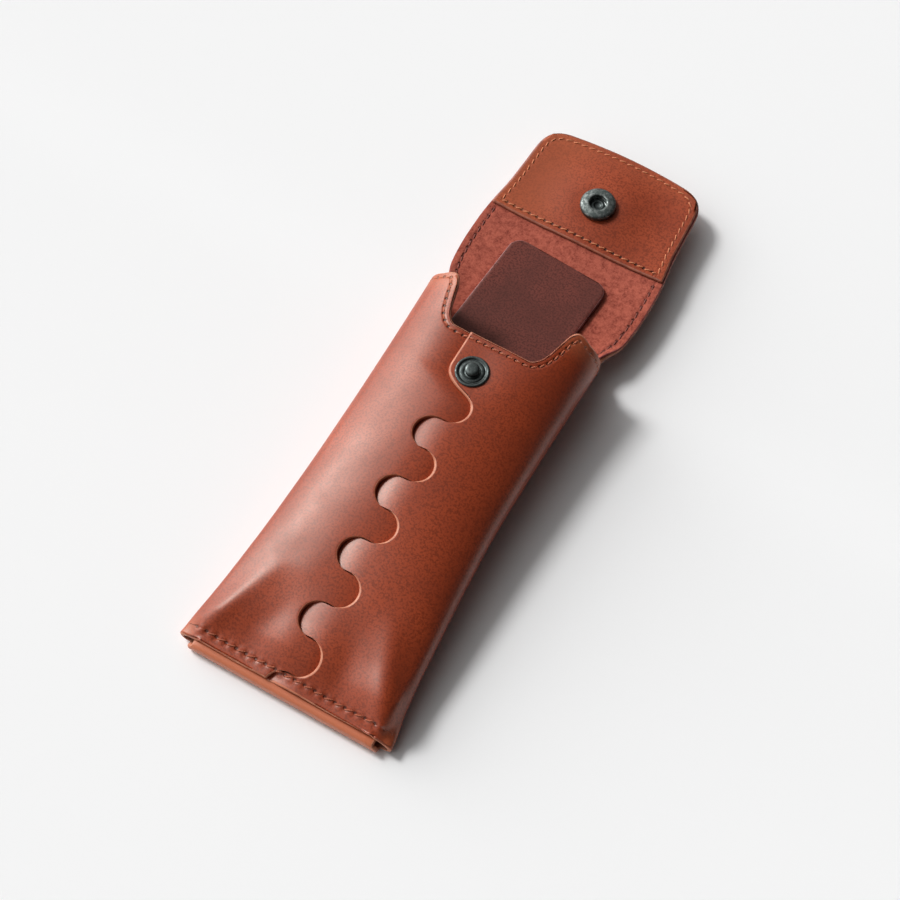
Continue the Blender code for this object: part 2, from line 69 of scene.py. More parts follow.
# Pouch body: y, half width, height, flat half width of the front, flat half width of the back
BODY_TABLE = (
    (0.0, 41.6, 6.9, 37.8, 37.8),
    (4.0, 41.1, 7.3, 34.0, 36.0),
    (8.0, 40.4, 9.2, 28.0, 34.4),
    (12.0, 39.6, 11.3, 23.0, 32.6),
    (24.0, 37.8, 15.0, 13.0, 29.5),
    (40.0, 36.2, 18.4, 8.0, 28.0),
    (60.0, 34.9, 21.5, 4.5, 26.8),
    (85.0, 34.1, 24.3, 2.0, 26.0),
    (110.0, 34.0, 26.0, 0.5, 26.0),
    (130.0, 34.2, 27.0, 2.5, 26.2),
    (162.0, 34.7, 28.6, 12.0, 26.8),
)
FRONT_POWER = 2.1
BACK_POWER = 2.2

# Dip of the front at the mouth: y, depth
DISH_TABLE = ((0.0, 0.0), (124.0, 0.0), (136.0, 0.4), (146.0, 1.3), (162.0, 1.8))
DISH_HALF_WIDTH = 30.0

# Fold that runs up from each bottom corner: y, x, height
RIDGE_TABLE = (
    (0.0, 36.0, 0.0),
    (4.0, 35.0, 0.8),
    (9.0, 33.6, 1.7),
    (15.0, 31.2, 1.7),
    (24.0, 27.5, 1.0),
    (38.0, 21.5, 0.0),
)
RIDGE_WIDTH = 4.8

# Hollow beside each fold: y, x, depth
HOLLOW_TABLE = (
    (0.0, 18.0, 0.0),
    (4.0, 18.0, 0.25),
    (9.0, 18.0, 0.8),
    (15.0, 17.0, 0.85),
    (24.0, 14.5, 0.45),
    (36.0, 13.0, 0.0),
)
HOLLOW_WIDTH = 6.0

# The wings' overlap stands proud near the bottom edge: y, height
PROUD_TABLE = ((0.0, 0.25), (4.0, 0.5), (9.0, 1.0), (15.0, 0.9), (24.0, 0.3), (34.0, 0.0))
PROUD_FLAT = 3.0
PROUD_FALL = 13.0

# The front rises from its left side to a crease at its right: y, share of the rise there
SWAY_TABLE = ((0.0, 0.0), (4.0, 0.45), (10.0, 1.0), (22.0, 0.65), (50.0, 0.3), (80.0, 0.0))

# Crown of the hide along the seam: y, height
CROWN_TABLE = ((60.0, 0.0), (85.0, 0.5), (105.0, 0.5), (120.0, 0.4), (134.0, 0.0))
CROWN_WIDTH = 14.0

# Slow waves of the hide, and the hollow where the stud is pressed in
WAVE_HEIGHT = 0.03
PRESS_DEPTH = 1.05
PRESS_SPREAD = 75.0

# The bottom corners are pinched: share of the height, how far up, from which x and over what width
PINCH = 0.5
PINCH_REACH = 8.0
PINCH_START = 34.5
PINCH_WIDTH = 4.0

# Seam of the wings
SEAM_PITCH = 24.9
HALF_LOBE = SEAM_PITCH / 4
FIRST_RIGHT_BULGE = 11.3
RIGHT_BULGES = 5
LAST_RIGHT_BULGE = FIRST_RIGHT_BULGE + (RIGHT_BULGES - 1) * SEAM_PITCH
NOTCH_DEPTH = 7.0
TONGUE_REACH = 11.5
TONGUE_POWER = 0.8
SEAM_CLEAR = 0.2
LEFT_UNDER = LEATHER - 0.15
RIGHT_UNDER = LEATHER + 0.65
FREE_STEP = 1.15
DIP_START = 6.0
DIP_POWER = 2.1
DIP_EASE = 6.0
LEFT_TURN_START = 0.6
LEFT_TURN_LENGTH = 12.0
RIGHT_LIFT_START = 5.4
RIGHT_LIFT_LENGTH = 7.5
SNAP_EDGE_X = -8.4
UNDER_EDGE_X = 9.5
LAST_TURN = ((NOTCH_DEPTH, LAST_RIGHT_BULGE), (7.0, 114.4), (4.2, 116.2), (0.8, 117.3))
SNAP_TURN = ((0.8, 117.3), (-3.4, 118.7), (-8.3, 120.6), (SNAP_EDGE_X, 125.4))
SNAP_TURN_PART = 0.42

# Mouth
NOTCH_Y = 139.5
# Edge of the notch: x, height over the notch's floor
NOTCH_EDGE = (
    (13.5, 0.0),
    (15.8, 0.3),
    (18.2, 2.7),
    (19.6, 5.7),
    (21.1, 10.7),
    (22.3, 15.2),
    (23.8, 18.0),
    (26.0, 18.9),
    (30.0, 17.9),
)
SIDE_START_X = NOTCH_EDGE[-1][0]
SHOULDER_Y = 157.2
SHOULDER_PART = 0.2
HINGE_Y = 160.0
ROOT_HALF_WIDTH = 34.0
ROOT_EASE = 0.17

# Bottom tab
TAB_RADIUS = 2.55
TAB_LEAF = 7.2
TAB_HALF_WIDTH = 37.2
TAB_SQUARE = 0.6
TAB_TAPER = 1.6
TAB_TOP_FLAT = BODY_TABLE[0][4]

# Flap, by distance u from the root fold. It lies tilted on its cap
SOCKET_U = 60.3
CAP_RISE = 1.82
TILT = math.asin(CAP_RISE / SOCKET_U)
CAP_REACH = 7.6
SAG_REST = 0.12
SAG_LENGTH = 11.0
SIDE_RISE = math.radians(3)
SIDE_RISE_START = 9.0
SIDE_RISE_LENGTH = 24.0

# Its sides and its rounded tip: u, half width
FLAP_SIDE = (
    (0.0, 34.0),
    (4.0, 33.7),
    (10.0, 35.4),
    (22.0, 36.9),
    (36.0, 37.0),
    (45.0, 36.3),
    (55.0, 35.0),
    (66.0, 34.3),
)
FLAP_TIP = (
    (66.0, 34.3),
    (75.0, 33.8),
    (79.0, 33.0),
    (82.0, 31.1),
    (84.0, 28.3),
    (85.2, 24.0),
    (86.3, 13.0),
    (86.7, 0.0),
)
BEFORE_TIP = (34.6, 60.0)
TIP_CORNER_U = 81.5
FACING_START = 43.0
FACING_BOW = 0.5
FACING_INSET = 0.45
FACING_TOP = FACING_V + FACING
SPLIT_U = 18.0
ROOT_BEND = 9.0
FOLD_U = 28.586
FOLD_BEND = 9.5
CURL_END = 14.0

# Stitches: their pitches and how far they lie from the edges
BOTTOM_PITCH = 3.9
BOTTOM_Y = 3.9
MOUTH_PITCH = 3.05
MOUTH_INSET = 2.5
FLAP_PITCH = 3.2
FACING_STITCH_INSET = 3.1
FACING_STITCH_LOW = 2.7
FACING_STITCH_CORNER = 2.9
SIDE_STITCH_INSET = 3.0

# Insert
INSERT_HALF_WIDTH = 20.5
INSERT_START = 88.0
INSERT_END_U = 33.0
INSERT_CORNER = 5.0
INSERT_COLUMNS = 30
INSERT_TURN = math.tan(math.radians(4.0))

# Snap. The stud is pressed into the leather, to where the socket of the closed flap meets it
STUD_Y = 125.7
SEAT_Z = 25.7

# Light: a small window high on the left and a wide one low on the left, in a room that is dark on the right and
# brightest towards the left horizon. A window's turn towards the flap, its height and its size are in degrees
WINDOW_TURN = 9.0
WINDOW_HEIGHT = 44.5
WINDOW_SIZE = 15.0
WINDOW_LIGHT = 0.448
LOW_TURN = 14.0
LOW_HEIGHT = 23.0
LOW_SIZE = 42.0
LOW_LIGHT = 0.115
ROOM_DARK = 0.03
ROOM_BRIGHT = 0.72
ROOM_HORIZON = 1.15

# Camera
CAMERA_TURN = math.radians(30.08)
CAMERA_HEIGHT = math.radians(63.31)
CAMERA_AIM = (1.87, 107.07, 0.0)
CAMERA_DISTANCE = 0.747
CAMERA_LENS = 84.4

# The floor: y, z. It touches the bottom tab and lies deeper towards the flap
FLOOR = (
    (-200.0, -0.35),
    (0.0, -0.35),
    (70.0, -2.4),
    (110.0, -3.0),
    (145.0, -3.6),
    (168.0, -6.2),
    (200.0, -6.8),
    (400.0, -6.8),
)
FLOOR_REACH = 3000.0
FLOOR_COLOUR = (0.905, 0.905, 0.905, 1)


def smooth(t):
    """From 0 to 1 with level ends, as t goes from 0 to 1."""
    t = np.clip(t, 0.0, 1.0)
    return t * t * (3 - 2 * t)


def table(rows, column, at):
    """A smooth curve through a column of a table, level beyond the table's ends."""
    xs = np.array([row[0] for row in rows], float)
    ys = np.array([row[column] for row in rows], float)
    last = len(xs) - 1
    high, low = np.minimum(np.arange(last + 1) + 1, last), np.maximum(np.arange(last + 1) - 1, 0)
    slopes = (ys[high] - ys[low]) / (xs[high] - xs[low])
    at = np.clip(np.asarray(at, float), xs[0], xs[-1])
    i = np.clip(np.searchsorted(xs, at) - 1, 0, last - 1)
    span = xs[i + 1] - xs[i]
    t = (at - xs[i]) / span
    return (
        (2 * t**3 - 3 * t**2 + 1) * ys[i]
        + (t**3 - 2 * t**2 + t) * span * slopes[i]
        + (3 * t**2 - 2 * t**3) * ys[i + 1]
        + (t**3 - t**2) * span * slopes[i + 1]
    )


def unit(vectors):
    return vectors / np.maximum(np.linalg.norm(vectors, axis=-1, keepdims=True), 1e-12)


# The pouch's section


def fold_height(rows, width, x, y):
    """Height of a fold, or depth of a hollow, that a table places on both sides of the front."""
    return table(rows, 2, y) * np.exp(-(((np.abs(x) - table(rows, 1, y)) / width) ** 2))


def front_height(x, y):
    """Height of the front's outside at each x and y."""
    width, height, flat = (table(BODY_TABLE, c, y) for c in (1, 2, 3))
    middle = height / 2
    q = np.clip((np.abs(x) - flat) / (width - flat), 0.0, 1.0)
    pinch = 1 - PINCH * (1 - smooth(y / PINCH_REACH)) * smooth((np.abs(x) - PINCH_START) / PINCH_WIDTH)
    z = middle + (height - middle) * pinch * (1 - q**FRONT_POWER) ** (1 / FRONT_POWER)
    dish = np.maximum(1 - (x / DISH_HALF_WIDTH) ** 2, 0.0) ** 2
    folds = fold_height(RIDGE_TABLE, RIDGE_WIDTH, x, y) - fold_height(HOLLOW_TABLE, HOLLOW_WIDTH, x, y)
    return z - table(DISH_TABLE, 1, y) * dish + folds * (1 - q**4)


def sections(y):
    """Outside of the right half at each y, from the middle of the front round to the middle of the back."""
    width, height, flat, back = (table(BODY_TABLE, c, y)[:, None] for c in (1, 2, 3, 4))
    middle = height / 2
    turn = np.linspace(0, math.pi / 2, 50)[None]
    bend = np.sin(turn) ** (2 / FRONT_POWER) * (width - flat) + flat
    x = np.concatenate([flat * np.linspace(0, 1, 12)[None, :-1], bend], 1)
    z = front_height(x, np.broadcast_to(y[:, None], x.shape))
    z[:, -1] = middle[:, 0]
    under = np.cos(turn[:, 1:]) ** (2 / BACK_POWER) * (width - back) + back
    low = middle - middle * np.sin(turn[:, 1:]) ** (2 / BACK_POWER)
    rest = back * np.linspace(1, 0, 10)[None, 1:]
    path = np.stack([np.concatenate([x, under, rest], 1), np.concatenate([z, low, 0 * rest], 1)], -1)
    step = np.diff(path, axis=1)
    length = np.concatenate([np.zeros((len(y), 1)), np.cumsum(np.hypot(step[..., 0], step[..., 1]), 1)], 1)
    along = np.concatenate([step[:, :1], step[:, 1:] + step[:, :-1], step[:, -1:]], 1)
    out = unit(np.stack([-along[..., 1], along[..., 0]], -1))
    return path, length, out, x.shape[1] - 1, x.shape[1] - 1 + under.shape[1]


def pick(keys, values, at):
    """Each row's values at its own place, between the two nearest keys."""
    i = np.clip((keys < at[:, None]).sum(1), 1, keys.shape[1] - 1)
    k = np.arange(len(at))
    t = np.clip((at - keys[k, i - 1]) / np.maximum(keys[k, i] - keys[k, i - 1], 1e-9), 0, 1)
    if values.ndim == 3:
        t = t[:, None]
    return values[k, i - 1] * (1 - t) + values[k, i] * t


def half_row(y_of, front_xs, side_parts, back_parts, depth, level=None):
    """Points of one half row, from x on the front round the side to the middle of the back, this deep in the
    leather."""
    tops = np.concatenate([mouth_top(front_xs), side_top(side_parts), np.full(len(back_parts), HINGE_Y)])
    y = y_of(tops)
    path, length, out, side, back = sections(y)
    fronts, sides = len(front_xs), len(side_parts)
    at = np.zeros(len(y))
    at[:fronts] = pick(path[:fronts, : side + 1, 0], length[:fronts, : side + 1], front_xs)
    s = slice(fronts, fronts + sides)
    start = pick(path[s, : side + 1, 0], length[s, : side + 1], np.full(sides, SIDE_START_X))
    at[s] = start + (length[s, back] - start) * side_parts
    b = slice(fronts + sides, None)
    at[b] = length[b, back] + (length[b, -1] - length[b, back]) * back_parts
    point, normal = pick(length, path, at), unit(pick(length, out, at))
    shift = np.full(len(y), -depth)
    if level:
        shift[:fronts] += level(point[:fronts, 0], y[:fronts])
    point = point + normal * shift[:, None]
    return np.stack([point[:, 0], y, point[:, 1]], 1)


def mouth_top(x):
    """Height of the mouth's edge across the front."""
    return NOTCH_Y + np.where(np.abs(x) < NOTCH_EDGE[0][0], 0.0, table(NOTCH_EDGE, 1, np.abs(x)))


def side_length():
    """Lengths of the side wall and of half the back, across the pouch at the flap's root."""
    path, length, _, side, back = sections(np.array([HINGE_Y]))
    start = pick(path[:, : side + 1, 0], length[:, : side + 1], np.array([SIDE_START_X]))
    return float(length[0, back] - start[0]), float(length[0, -1] - length[0, back])


SIDE_ARC, BACK_ARC = side_length()
ROOT_PART = 1 - (ROOT_HALF_WIDTH - BACK_ARC) / SIDE_ARC


def side_top(part):
    """Top of the side wall: from the notch up to the shoulder, then to the hinge where the flap begins."""
    low = mouth_top(np.array([SIDE_START_X]))[0]
    down = low + (SHOULDER_Y - low) * smooth(part / SHOULDER_PART)
    return down + (HINGE_Y - SHOULDER_Y) * smooth((part - ROOT_PART + ROOT_EASE) / ROOT_EASE)


# Seam of the wings


def seam_rows(steps_each):
    """(y away from the seam, left wing's edge, right wing's edge) for each row, from the bottom edge up."""
    first_left = FIRST_RIGHT_BULGE - SEAM_PITCH / 2
    lobes = [(-1, first_left)]
    for k in range(RIGHT_BULGES):
        lobes.append((1, FIRST_RIGHT_BULGE + k * SEAM_PITCH))
        if k < RIGHT_BULGES - 1:
            lobes.append((-1, first_left + (k + 1) * SEAM_PITCH))
    rows = []
    for index, (kind, centre) in enumerate(lobes):
        parts = [i / steps_each for i in range(1, steps_each + 1)]
        if index == 0:
            opening = 0.5 + math.asin(-centre / HALF_LOBE) / math.pi
            parts = list(opening + (1 - opening) * np.linspace(0, 1, steps_each // 2))
        for part in parts:
            y = centre + HALF_LOBE * (2 * part - 1)
            turn = math.pi * part
            notch = (kind * NOTCH_DEPTH * math.sin(turn), centre - (HALF_LOBE + SEAM_CLEAR) * math.cos(turn))
            inset = HALF_LOBE - SEAM_CLEAR
            tongue = (
                kind * TONGUE_REACH * abs(math.sin(turn)) ** TONGUE_POWER,
                centre - inset * math.copysign(abs(math.cos(turn)) ** TONGUE_POWER, math.cos(turn)),
            )
            if index == 0 and part == parts[0]:
                y, notch, tongue = 0.0, (notch[0], 0.0), (tongue[0], 0.0)
            left, right = (tongue, notch) if kind > 0 else (notch, tongue)
            if index == len(lobes) - 1 and part > 0.5:
                left = (TONGUE_REACH + (UNDER_EDGE_X - TONGUE_REACH) * (2 * part - 1), y)
                right = bezier(LAST_TURN, 2 * part - 1)
            rows.append((y, left, right))
    return rows


def dip(x, depth):
    """How deep a wing lies on its way under the other: ever more steeply up to the other's edge, then
    level."""
    t = np.maximum((x + DIP_START) / (DIP_START + NOTCH_DEPTH), 0.0)
    past = np.maximum(t - 1, 0.0)
    return depth * (np.minimum(t, 1.0) ** DIP_POWER + DIP_POWER * (1 - np.exp(-DIP_EASE * past)) / DIP_EASE)


def left_level(x, y):
    """Height of the left wing over the plain front."""
    turn = smooth((y - LAST_RIGHT_BULGE - LEFT_TURN_START) / LEFT_TURN_LENGTH)
    return proud(x, y) - dip(x - (SNAP_EDGE_X - NOTCH_DEPTH) * turn, LEFT_UNDER)


def right_level(x, y):
    """Height of the right wing over the plain front."""
    lift = smooth((y - LAST_RIGHT_BULGE + RIGHT_LIFT_START) / RIGHT_LIFT_LENGTH)
    return proud(x, y) - dip(-x, RIGHT_UNDER) * (1 - lift)


def proud(x, y):
    """Near the bottom edge the overlap stands proud, as the tab fills the space under it."""
    return table(PROUD_TABLE, 1, y) * (1 - smooth((np.abs(x) - PROUD_FLAT) / PROUD_FALL))


def bezier(points, t):
    """Point of the curve that four points pull."""
    a, b, c, d = (np.array(point) for point in points)
    return tuple((1 - t) ** 3 * a + 3 * t * (1 - t) ** 2 * b + 3 * t * t * (1 - t) * c + t**3 * d)


SLOPE_STEP = 0.2
COLUMN_SPREAD = 1.1


def wing(side, edge, y_joint, level, count):
    """One wing's points from its free edge to where the front's columns begin."""
    x_edge, y_edge = edge[0] * side, edge[1]
    joint = NOTCH_EDGE[0][0]
    first = FREE_STEP / (joint - x_edge)
    t = np.concatenate([[0.0], first + (1 - first) * np.linspace(0, 1, count)[:-1] ** COLUMN_SPREAD])
    x = x_edge + (joint - x_edge) * t
    y = y_edge + (y_joint - y_edge) * t
    z = front_height(x, y)
    slope = (front_height(x + SLOPE_STEP, y) - front_height(x - SLOPE_STEP, y)) / (2 * SLOPE_STEP)
    rise = level(side * x, y) / np.hypot(slope, 1.0)
    return np.stack([side * (x - slope * rise), y, z + rise], 1)


# Building sheets


def grid(index):
    """Faces of a grid of vertex numbers."""
    rows, columns = index.shape
    return [
        (index[r, c], index[r, c + 1], index[r + 1, c + 1], index[r + 1, c])
        for r in range(rows - 1)
        for c in range(columns - 1)
    ]


def to_frame(points):
    """From millimetres along the pouch to the frame's metres."""
    return (np.asarray(points, float) + np.array([0.0, BOTTOM_EDGE, 0.0])) * MM


def vertex_normals(points, faces):
    """Outward directions at the vertices of a surface of four-sided faces."""
    quads = np.array(faces)
    across = np.cross(points[quads[:, 2]] - points[quads[:, 0]], points[quads[:, 3]] - points[quads[:, 1]])
    normals = np.zeros_like(points)
    for k in range(4):
        np.add.at(normals, quads[:, k], across)
    return unit(normals)


def borders(faces):
    """Closed loops of the vertices round the surface, in the faces' own direction."""
    edges = {}
    for face in faces:
        for a, b in zip(face, face[1:] + face[:1]):
            edges[(a, b)] = True
    following = {a: b for (a, b) in edges if (b, a) not in edges}
    loops = []
    while following:
        start = next(iter(following))
        loop = [start]
        while following[loop[-1]] != start:
            loop.append(following[loop[-1]])
        for v in loop:
            del following[v]
        loops.append(loop)
    return loops


# Cut edge, from the face to the back: part of its width outwards, part of the thickness down
ROUND_EDGE = ((0.42, 0.05), (0.78, 0.19), (0.97, 0.40), (0.97, 0.60), (0.78, 0.81), (0.42, 0.95))
RUBBED_EDGE = ((0.30, 0.03), (0.58, 0.11), (0.82, 0.25), (0.96, 0.43), (1.0, 0.62), (1.0, 0.82), (0.9, 0.95))

# A stitch line marks the leather within MARK_REACH. Vertices within NEAR_LINE get their distance from it, and all
# others count as being NO_STITCH away
MARK_REACH = 4.0
NEAR_LINE = 6.0
NO_STITCH = 9.0
STITCH_FIELDS = ("stitch_along", "stitch_off", "stitch_holes", "stitch_pull")


def new_piece(name, verts, faces, finishes):
    """A smooth mesh from points in millimetres, with these materials."""
    mesh = bpy.data.meshes.new(name)
    mesh.from_pydata(to_frame(verts).tolist(), [], [tuple(int(v) for v in face) for face in faces])
    mesh.polygons.foreach_set("use_smooth", np.ones(len(faces), bool))
    for finish in finishes:
        mesh.materials.append(finish)
    mesh.update()
    obj = bpy.data.objects.new(name, mesh)
    bpy.context.scene.collection.objects.link(obj)
    return obj


def sheet(
    name, points, faces, thick, edge, body, finishes, joined=(), marks=(), profile=ROUND_EDGE, light_paint=None
):
    """A sheet of this thickness below a surface, its cut edge this wide, in all or for each vertex.
    Vertices in joined meet another sheet, so they get a plain wall. finishes are the materials of the
    face, the cut edge and the back. The painted light given for each vertex makes the face lighter
    there, where light falls on it."""
    points = np.array(points, float)
    faces = [tuple(int(v) for v in face) for face in faces]
    normals = vertex_normals(points, faces)
    joined = set(int(v) for v in joined)
    outward = np.zeros_like(points)
    loops = borders(faces)
    for loop in loops:
        for k, v in enumerate(loop):
            before, after = loop[k - 1], loop[(k + 1) % len(loop)]
            along = np.zeros(3)
            for a, b in ((before, v), (v, after)):
                if not (a in joined and b in joined):
                    along += unit(points[b] - points[a])
            if np.linalg.norm(along) > 1e-6:
                outward[v] = unit(np.cross(along, normals[v]))
    edge = np.broadcast_to(edge, len(points))
    top = points - outward * edge[:, None]
    count = len(points)
    verts = [*top, *(top - normals * thick)]
    ring, made, kinds, sharp = {}, list(faces), [0] * len(faces), []
    made += [tuple(v + count for v in reversed(face)) for face in faces]
    kinds += [2] * len(faces)
    for loop in loops:
        for v in loop:
            chain = [v]
            if outward[v].any():
                for out, down in profile:
                    chain.append(len(verts))
                    verts.append(top[v] + outward[v] * edge[v] * out - normals[v] * thick * down)
            ring[v] = chain + [v + count]
        for a, b in zip(loop, loop[1:] + loop[:1]):
            if a in joined and b in joined:
                made.append(tuple(ring[a] + ring[b][::-1]))
                kinds.append(1)
                sharp += [(a, b), (a + count, b + count)]
                continue
            for (a0, a1), (b0, b1) in zip(zip(ring[a], ring[a][1:]), zip(ring[b], ring[b][1:])):
                made.append((a0, a1, b1, b0))
                kinds.append(1)
    obj = new_piece(name, verts, made, finishes)
    mesh = obj.data
    mesh.polygons.foreach_set("material_index", np.array(kinds, np.int32))
    if sharp:
        wanted = {frozenset(pair) for pair in sharp}
        attribute = mesh.attributes.new("sharp_edge", "BOOLEAN", "EDGE")
        attribute.data.foreach_set("value", [frozenset(e.vertices) in wanted for e in mesh.edges])
    fields = {key: np.zeros(len(verts)) for key in (*STITCH_FIELDS, "painted_light")}
    fields["stitch_off"] += NO_STITCH
    if marks:
        for key, values in zip(STITCH_FIELDS, stitch_field(points, normals, marks)):
            fields[key][:count] = values
    if light_paint is not None:
        fields["painted_light"][:count] = light_paint
    for key, values in fields.items():
        attribute = mesh.attributes.new(key, "FLOAT", "POINT")
        attribute.data.foreach_set("value", values.astype(np.float32))
    mesh.update()
    if body:
        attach(obj, body)
    return obj


def nearest_on_line(points, line):
    """Distance, place along the line, and the offset vector's side for each point."""
    a, b = line[:-1], line[1:]
    step = b - a
    size = np.linalg.norm(step, axis=1)
    start = np.concatenate([[0], np.cumsum(size)])[:-1]
    best = np.full(len(points), 1e9)
    along = np.zeros(len(points))
    offset = np.zeros_like(points)
    heading = np.zeros_like(points)
    for k in range(len(a)):
        t = np.clip((points - a[k]) @ step[k] / size[k] ** 2, 0, 1)
        gap = points - a[k] - t[:, None] * step[k]
        far = np.linalg.norm(gap, axis=1)
        closer = far < best
        best[closer] = far[closer]
        along[closer] = start[k] + t[closer] * size[k]
        offset[closer] = gap[closer]
        heading[closer] = step[k] / size[k]
    return best, along, offset, heading


def stitch_field(points, normals, lines):
    """For each vertex, how far along the nearest stitch line it is, in pitches, how far to its side in
    mm, and how strongly the line's holes and its pull on the leather show."""
    along, off = np.zeros(len(points)), np.full(len(points), NO_STITCH)
    holes, pull = np.zeros(len(points)), np.zeros(len(points))
    for line, pitch, hole_strength, pull_strength in lines:
        low, high = line.min(0) - NEAR_LINE, line.max(0) + NEAR_LINE
        close = np.where(((points > low) & (points < high)).all(1))[0]
        if not len(close):
            continue
        far, place, offset, heading = nearest_on_line(points[close], line)
        side = np.sign((np.cross(heading, normals[close]) * offset).sum(1))
        far = np.minimum(far, NO_STITCH)
        better = far < np.abs(off[close])
        along[close[better]] = place[better] / pitch
        off[close[better]] = (far * np.where(side == 0, 1, side))[better]
        holes[close[better]] = np.where(far < MARK_REACH, hole_strength, 0.0)[better]
        pull[close[better]] = np.where(far < MARK_REACH, pull_strength, 0.0)[better]
    return along, off, holes, pull


def distances(line):
    """How far along a line of points each of them is."""
    return np.concatenate([[0], np.cumsum(np.linalg.norm(np.diff(line, axis=0), axis=1))])


def resample(line, spacing):
    """Points evenly along a line of points, about this far apart."""
    line = np.asarray(line, float)
    length = distances(line)
    count = max(int(round(length[-1] / spacing)), 1)
    at = np.linspace(0, length[-1], count + 1)
    return np.stack([np.interp(at, length, line[:, k]) for k in range(line.shape[1])], 1)


THREAD_SIDES = 8
THREAD_STEPS = 8
THREAD_SINK = 0.35
THREAD_FLAT = 0.85


def threads(name, line, normals, radius, finish, body, slant=0.28, rise=0.2):
    """A row of stitches: one short bowed length of thread between each two holes."""
    verts, faces = [], []
    heading = unit(np.gradient(line, axis=0))
    across = unit(np.cross(heading, normals))
    lift = rise + THREAD_SINK - radius * 0.35
    for k in range(len(line) - 1):
        a, b = line[k] + across[k] * slant, line[k + 1] - across[k + 1] * slant
        up = unit(normals[k] + normals[k + 1])
        aside = unit(np.cross(unit(b - a), up))
        first = len(verts)
        for i in range(THREAD_STEPS + 1):
            t = i / THREAD_STEPS
            arch = math.sin(math.pi * t) ** 0.6
            centre = a + (b - a) * (0.06 + 0.88 * t) + up * (-THREAD_SINK + lift * arch)
            wide = radius * (0.72 + 0.28 * arch) * (1 + 0.07 * math.sin(5 * math.pi * t + k))
            for j in range(THREAD_SIDES):
                turn = 2 * math.pi * j / THREAD_SIDES
                round_out = aside * wide * math.cos(turn) + up * wide * THREAD_FLAT * math.sin(turn)
                verts.append(centre + round_out)
        for i in range(THREAD_STEPS):
            for j in range(THREAD_SIDES):
                p, q = first + i * THREAD_SIDES + j, first + i * THREAD_SIDES + (j + 1) % THREAD_SIDES
                faces.append((p, q, q + THREAD_SIDES, p + THREAD_SIDES))
        faces.append(tuple(range(first + THREAD_SIDES - 1, first - 1, -1)))
        end = first + THREAD_STEPS * THREAD_SIDES
        faces.append(tuple(range(end, end + THREAD_SIDES)))
    obj = new_piece(name, verts, faces, (finish,))
    if body:
        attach(obj, body)
    return obj


# The flap's surface


def root_section():
    """Turn of the back's section at the root, by distance from its middle."""
    path, length, _, _, _ = sections(np.array([HINGE_Y]))
    path, away = path[0, ::-1], length[0, -1] - length[0, ::-1]
    s = np.linspace(0, 45, 181)
    x, z = np.interp(s, away, path[:, 0]), np.interp(s, away, path[:, 1])
    turn = np.arctan2(np.gradient(z, s), np.gradient(x, s))
    turn[s < BACK_ARC - 0.5] = 0
    return s, turn


ROOT_S, ROOT_TURN = root_section()


def flap_point(s, u, v):
    """Point of the flap: s across, u from the root fold, v up from the leather's outside."""
    s, u = np.broadcast_arrays(np.asarray(s, float), np.asarray(u, float))
    curl = 1 - smooth(u / CURL_END)
    away = np.abs(s)
    steps = np.linspace(0, 1, 25)
    reach = away[..., None] * steps
    turn = np.interp(reach, ROOT_S, ROOT_TURN) * curl[..., None] + flap_rise(reach) * (1 - curl[..., None])
    run = np.gradient(steps)
    run[0] /= 2
    run[-1] /= 2
    run = run / run.sum()
    x = (np.cos(turn) * run).sum(-1) * away
    z = (np.sin(turn) * run).sum(-1) * away
    end = np.interp(away, ROOT_S, ROOT_TURN) * curl + flap_rise(away) * (1 - curl)
    x = np.sign(s) * (x - np.sin(end) * v)
    up = z + np.cos(end) * v - AXIS_V
    lie = u * math.sin(TILT)
    far = np.maximum(np.hypot(s, u - SOCKET_U) - CAP_REACH, 0)
    sag = np.maximum(lie - SAG_REST, 0) * (1 - np.exp(-((far / SAG_LENGTH) ** 2)))
    return np.stack(
        [x, HINGE_Y + u * math.cos(TILT) - up * math.sin(TILT), AXIS_V + lie - sag + up * math.cos(TILT)], -1
    )


def flap_rise(away):
    """Turn of the flap's sides off the table, by distance from its middle."""
    return SIDE_RISE * smooth((away - SIDE_RISE_START) / SIDE_RISE_LENGTH)


def flap_width(u):
    """Half width of the flap's sides."""
    return table(FLAP_SIDE, 1, u)


def flap_outline(start):
    """Edge of the flap in (s, u), from the left side at start, round the tip, to the right side at start."""
    right = [(float(flap_width(u)), float(u)) for u in np.arange(start, 65.0, 1.5)]
    knots = np.array([(w, u) for u, w in FLAP_TIP])
    knots = np.concatenate([knots, [[-knots[-2][0], knots[-2][1]]]])
    for k in range(len(knots) - 2):
        before = knots[k - 1] if k else np.array(BEFORE_TIP)
        a, b, after = knots[k], knots[k + 1], knots[k + 2]
        reach = np.linalg.norm(b - a)
        slope_a = (b - before) / (reach + np.linalg.norm(a - before)) * reach
        slope_b = (after - a) / (np.linalg.norm(after - b) + reach) * reach
        for t in np.linspace(0, 1, 9)[:-1]:
            from_a = (2 * t**3 - 3 * t**2 + 1) * a + (t**3 - 2 * t**2 + t) * slope_a
            right.append(tuple(from_a + (3 * t**2 - 2 * t**3) * b + (t**3 - t**2) * slope_b))
    right = np.array(right)
    left = right[::-1] * np.array([-1, 1])
    return np.concatenate([right, [[0.0, FLAP_TIP[-1][0]]], left])[::-1]


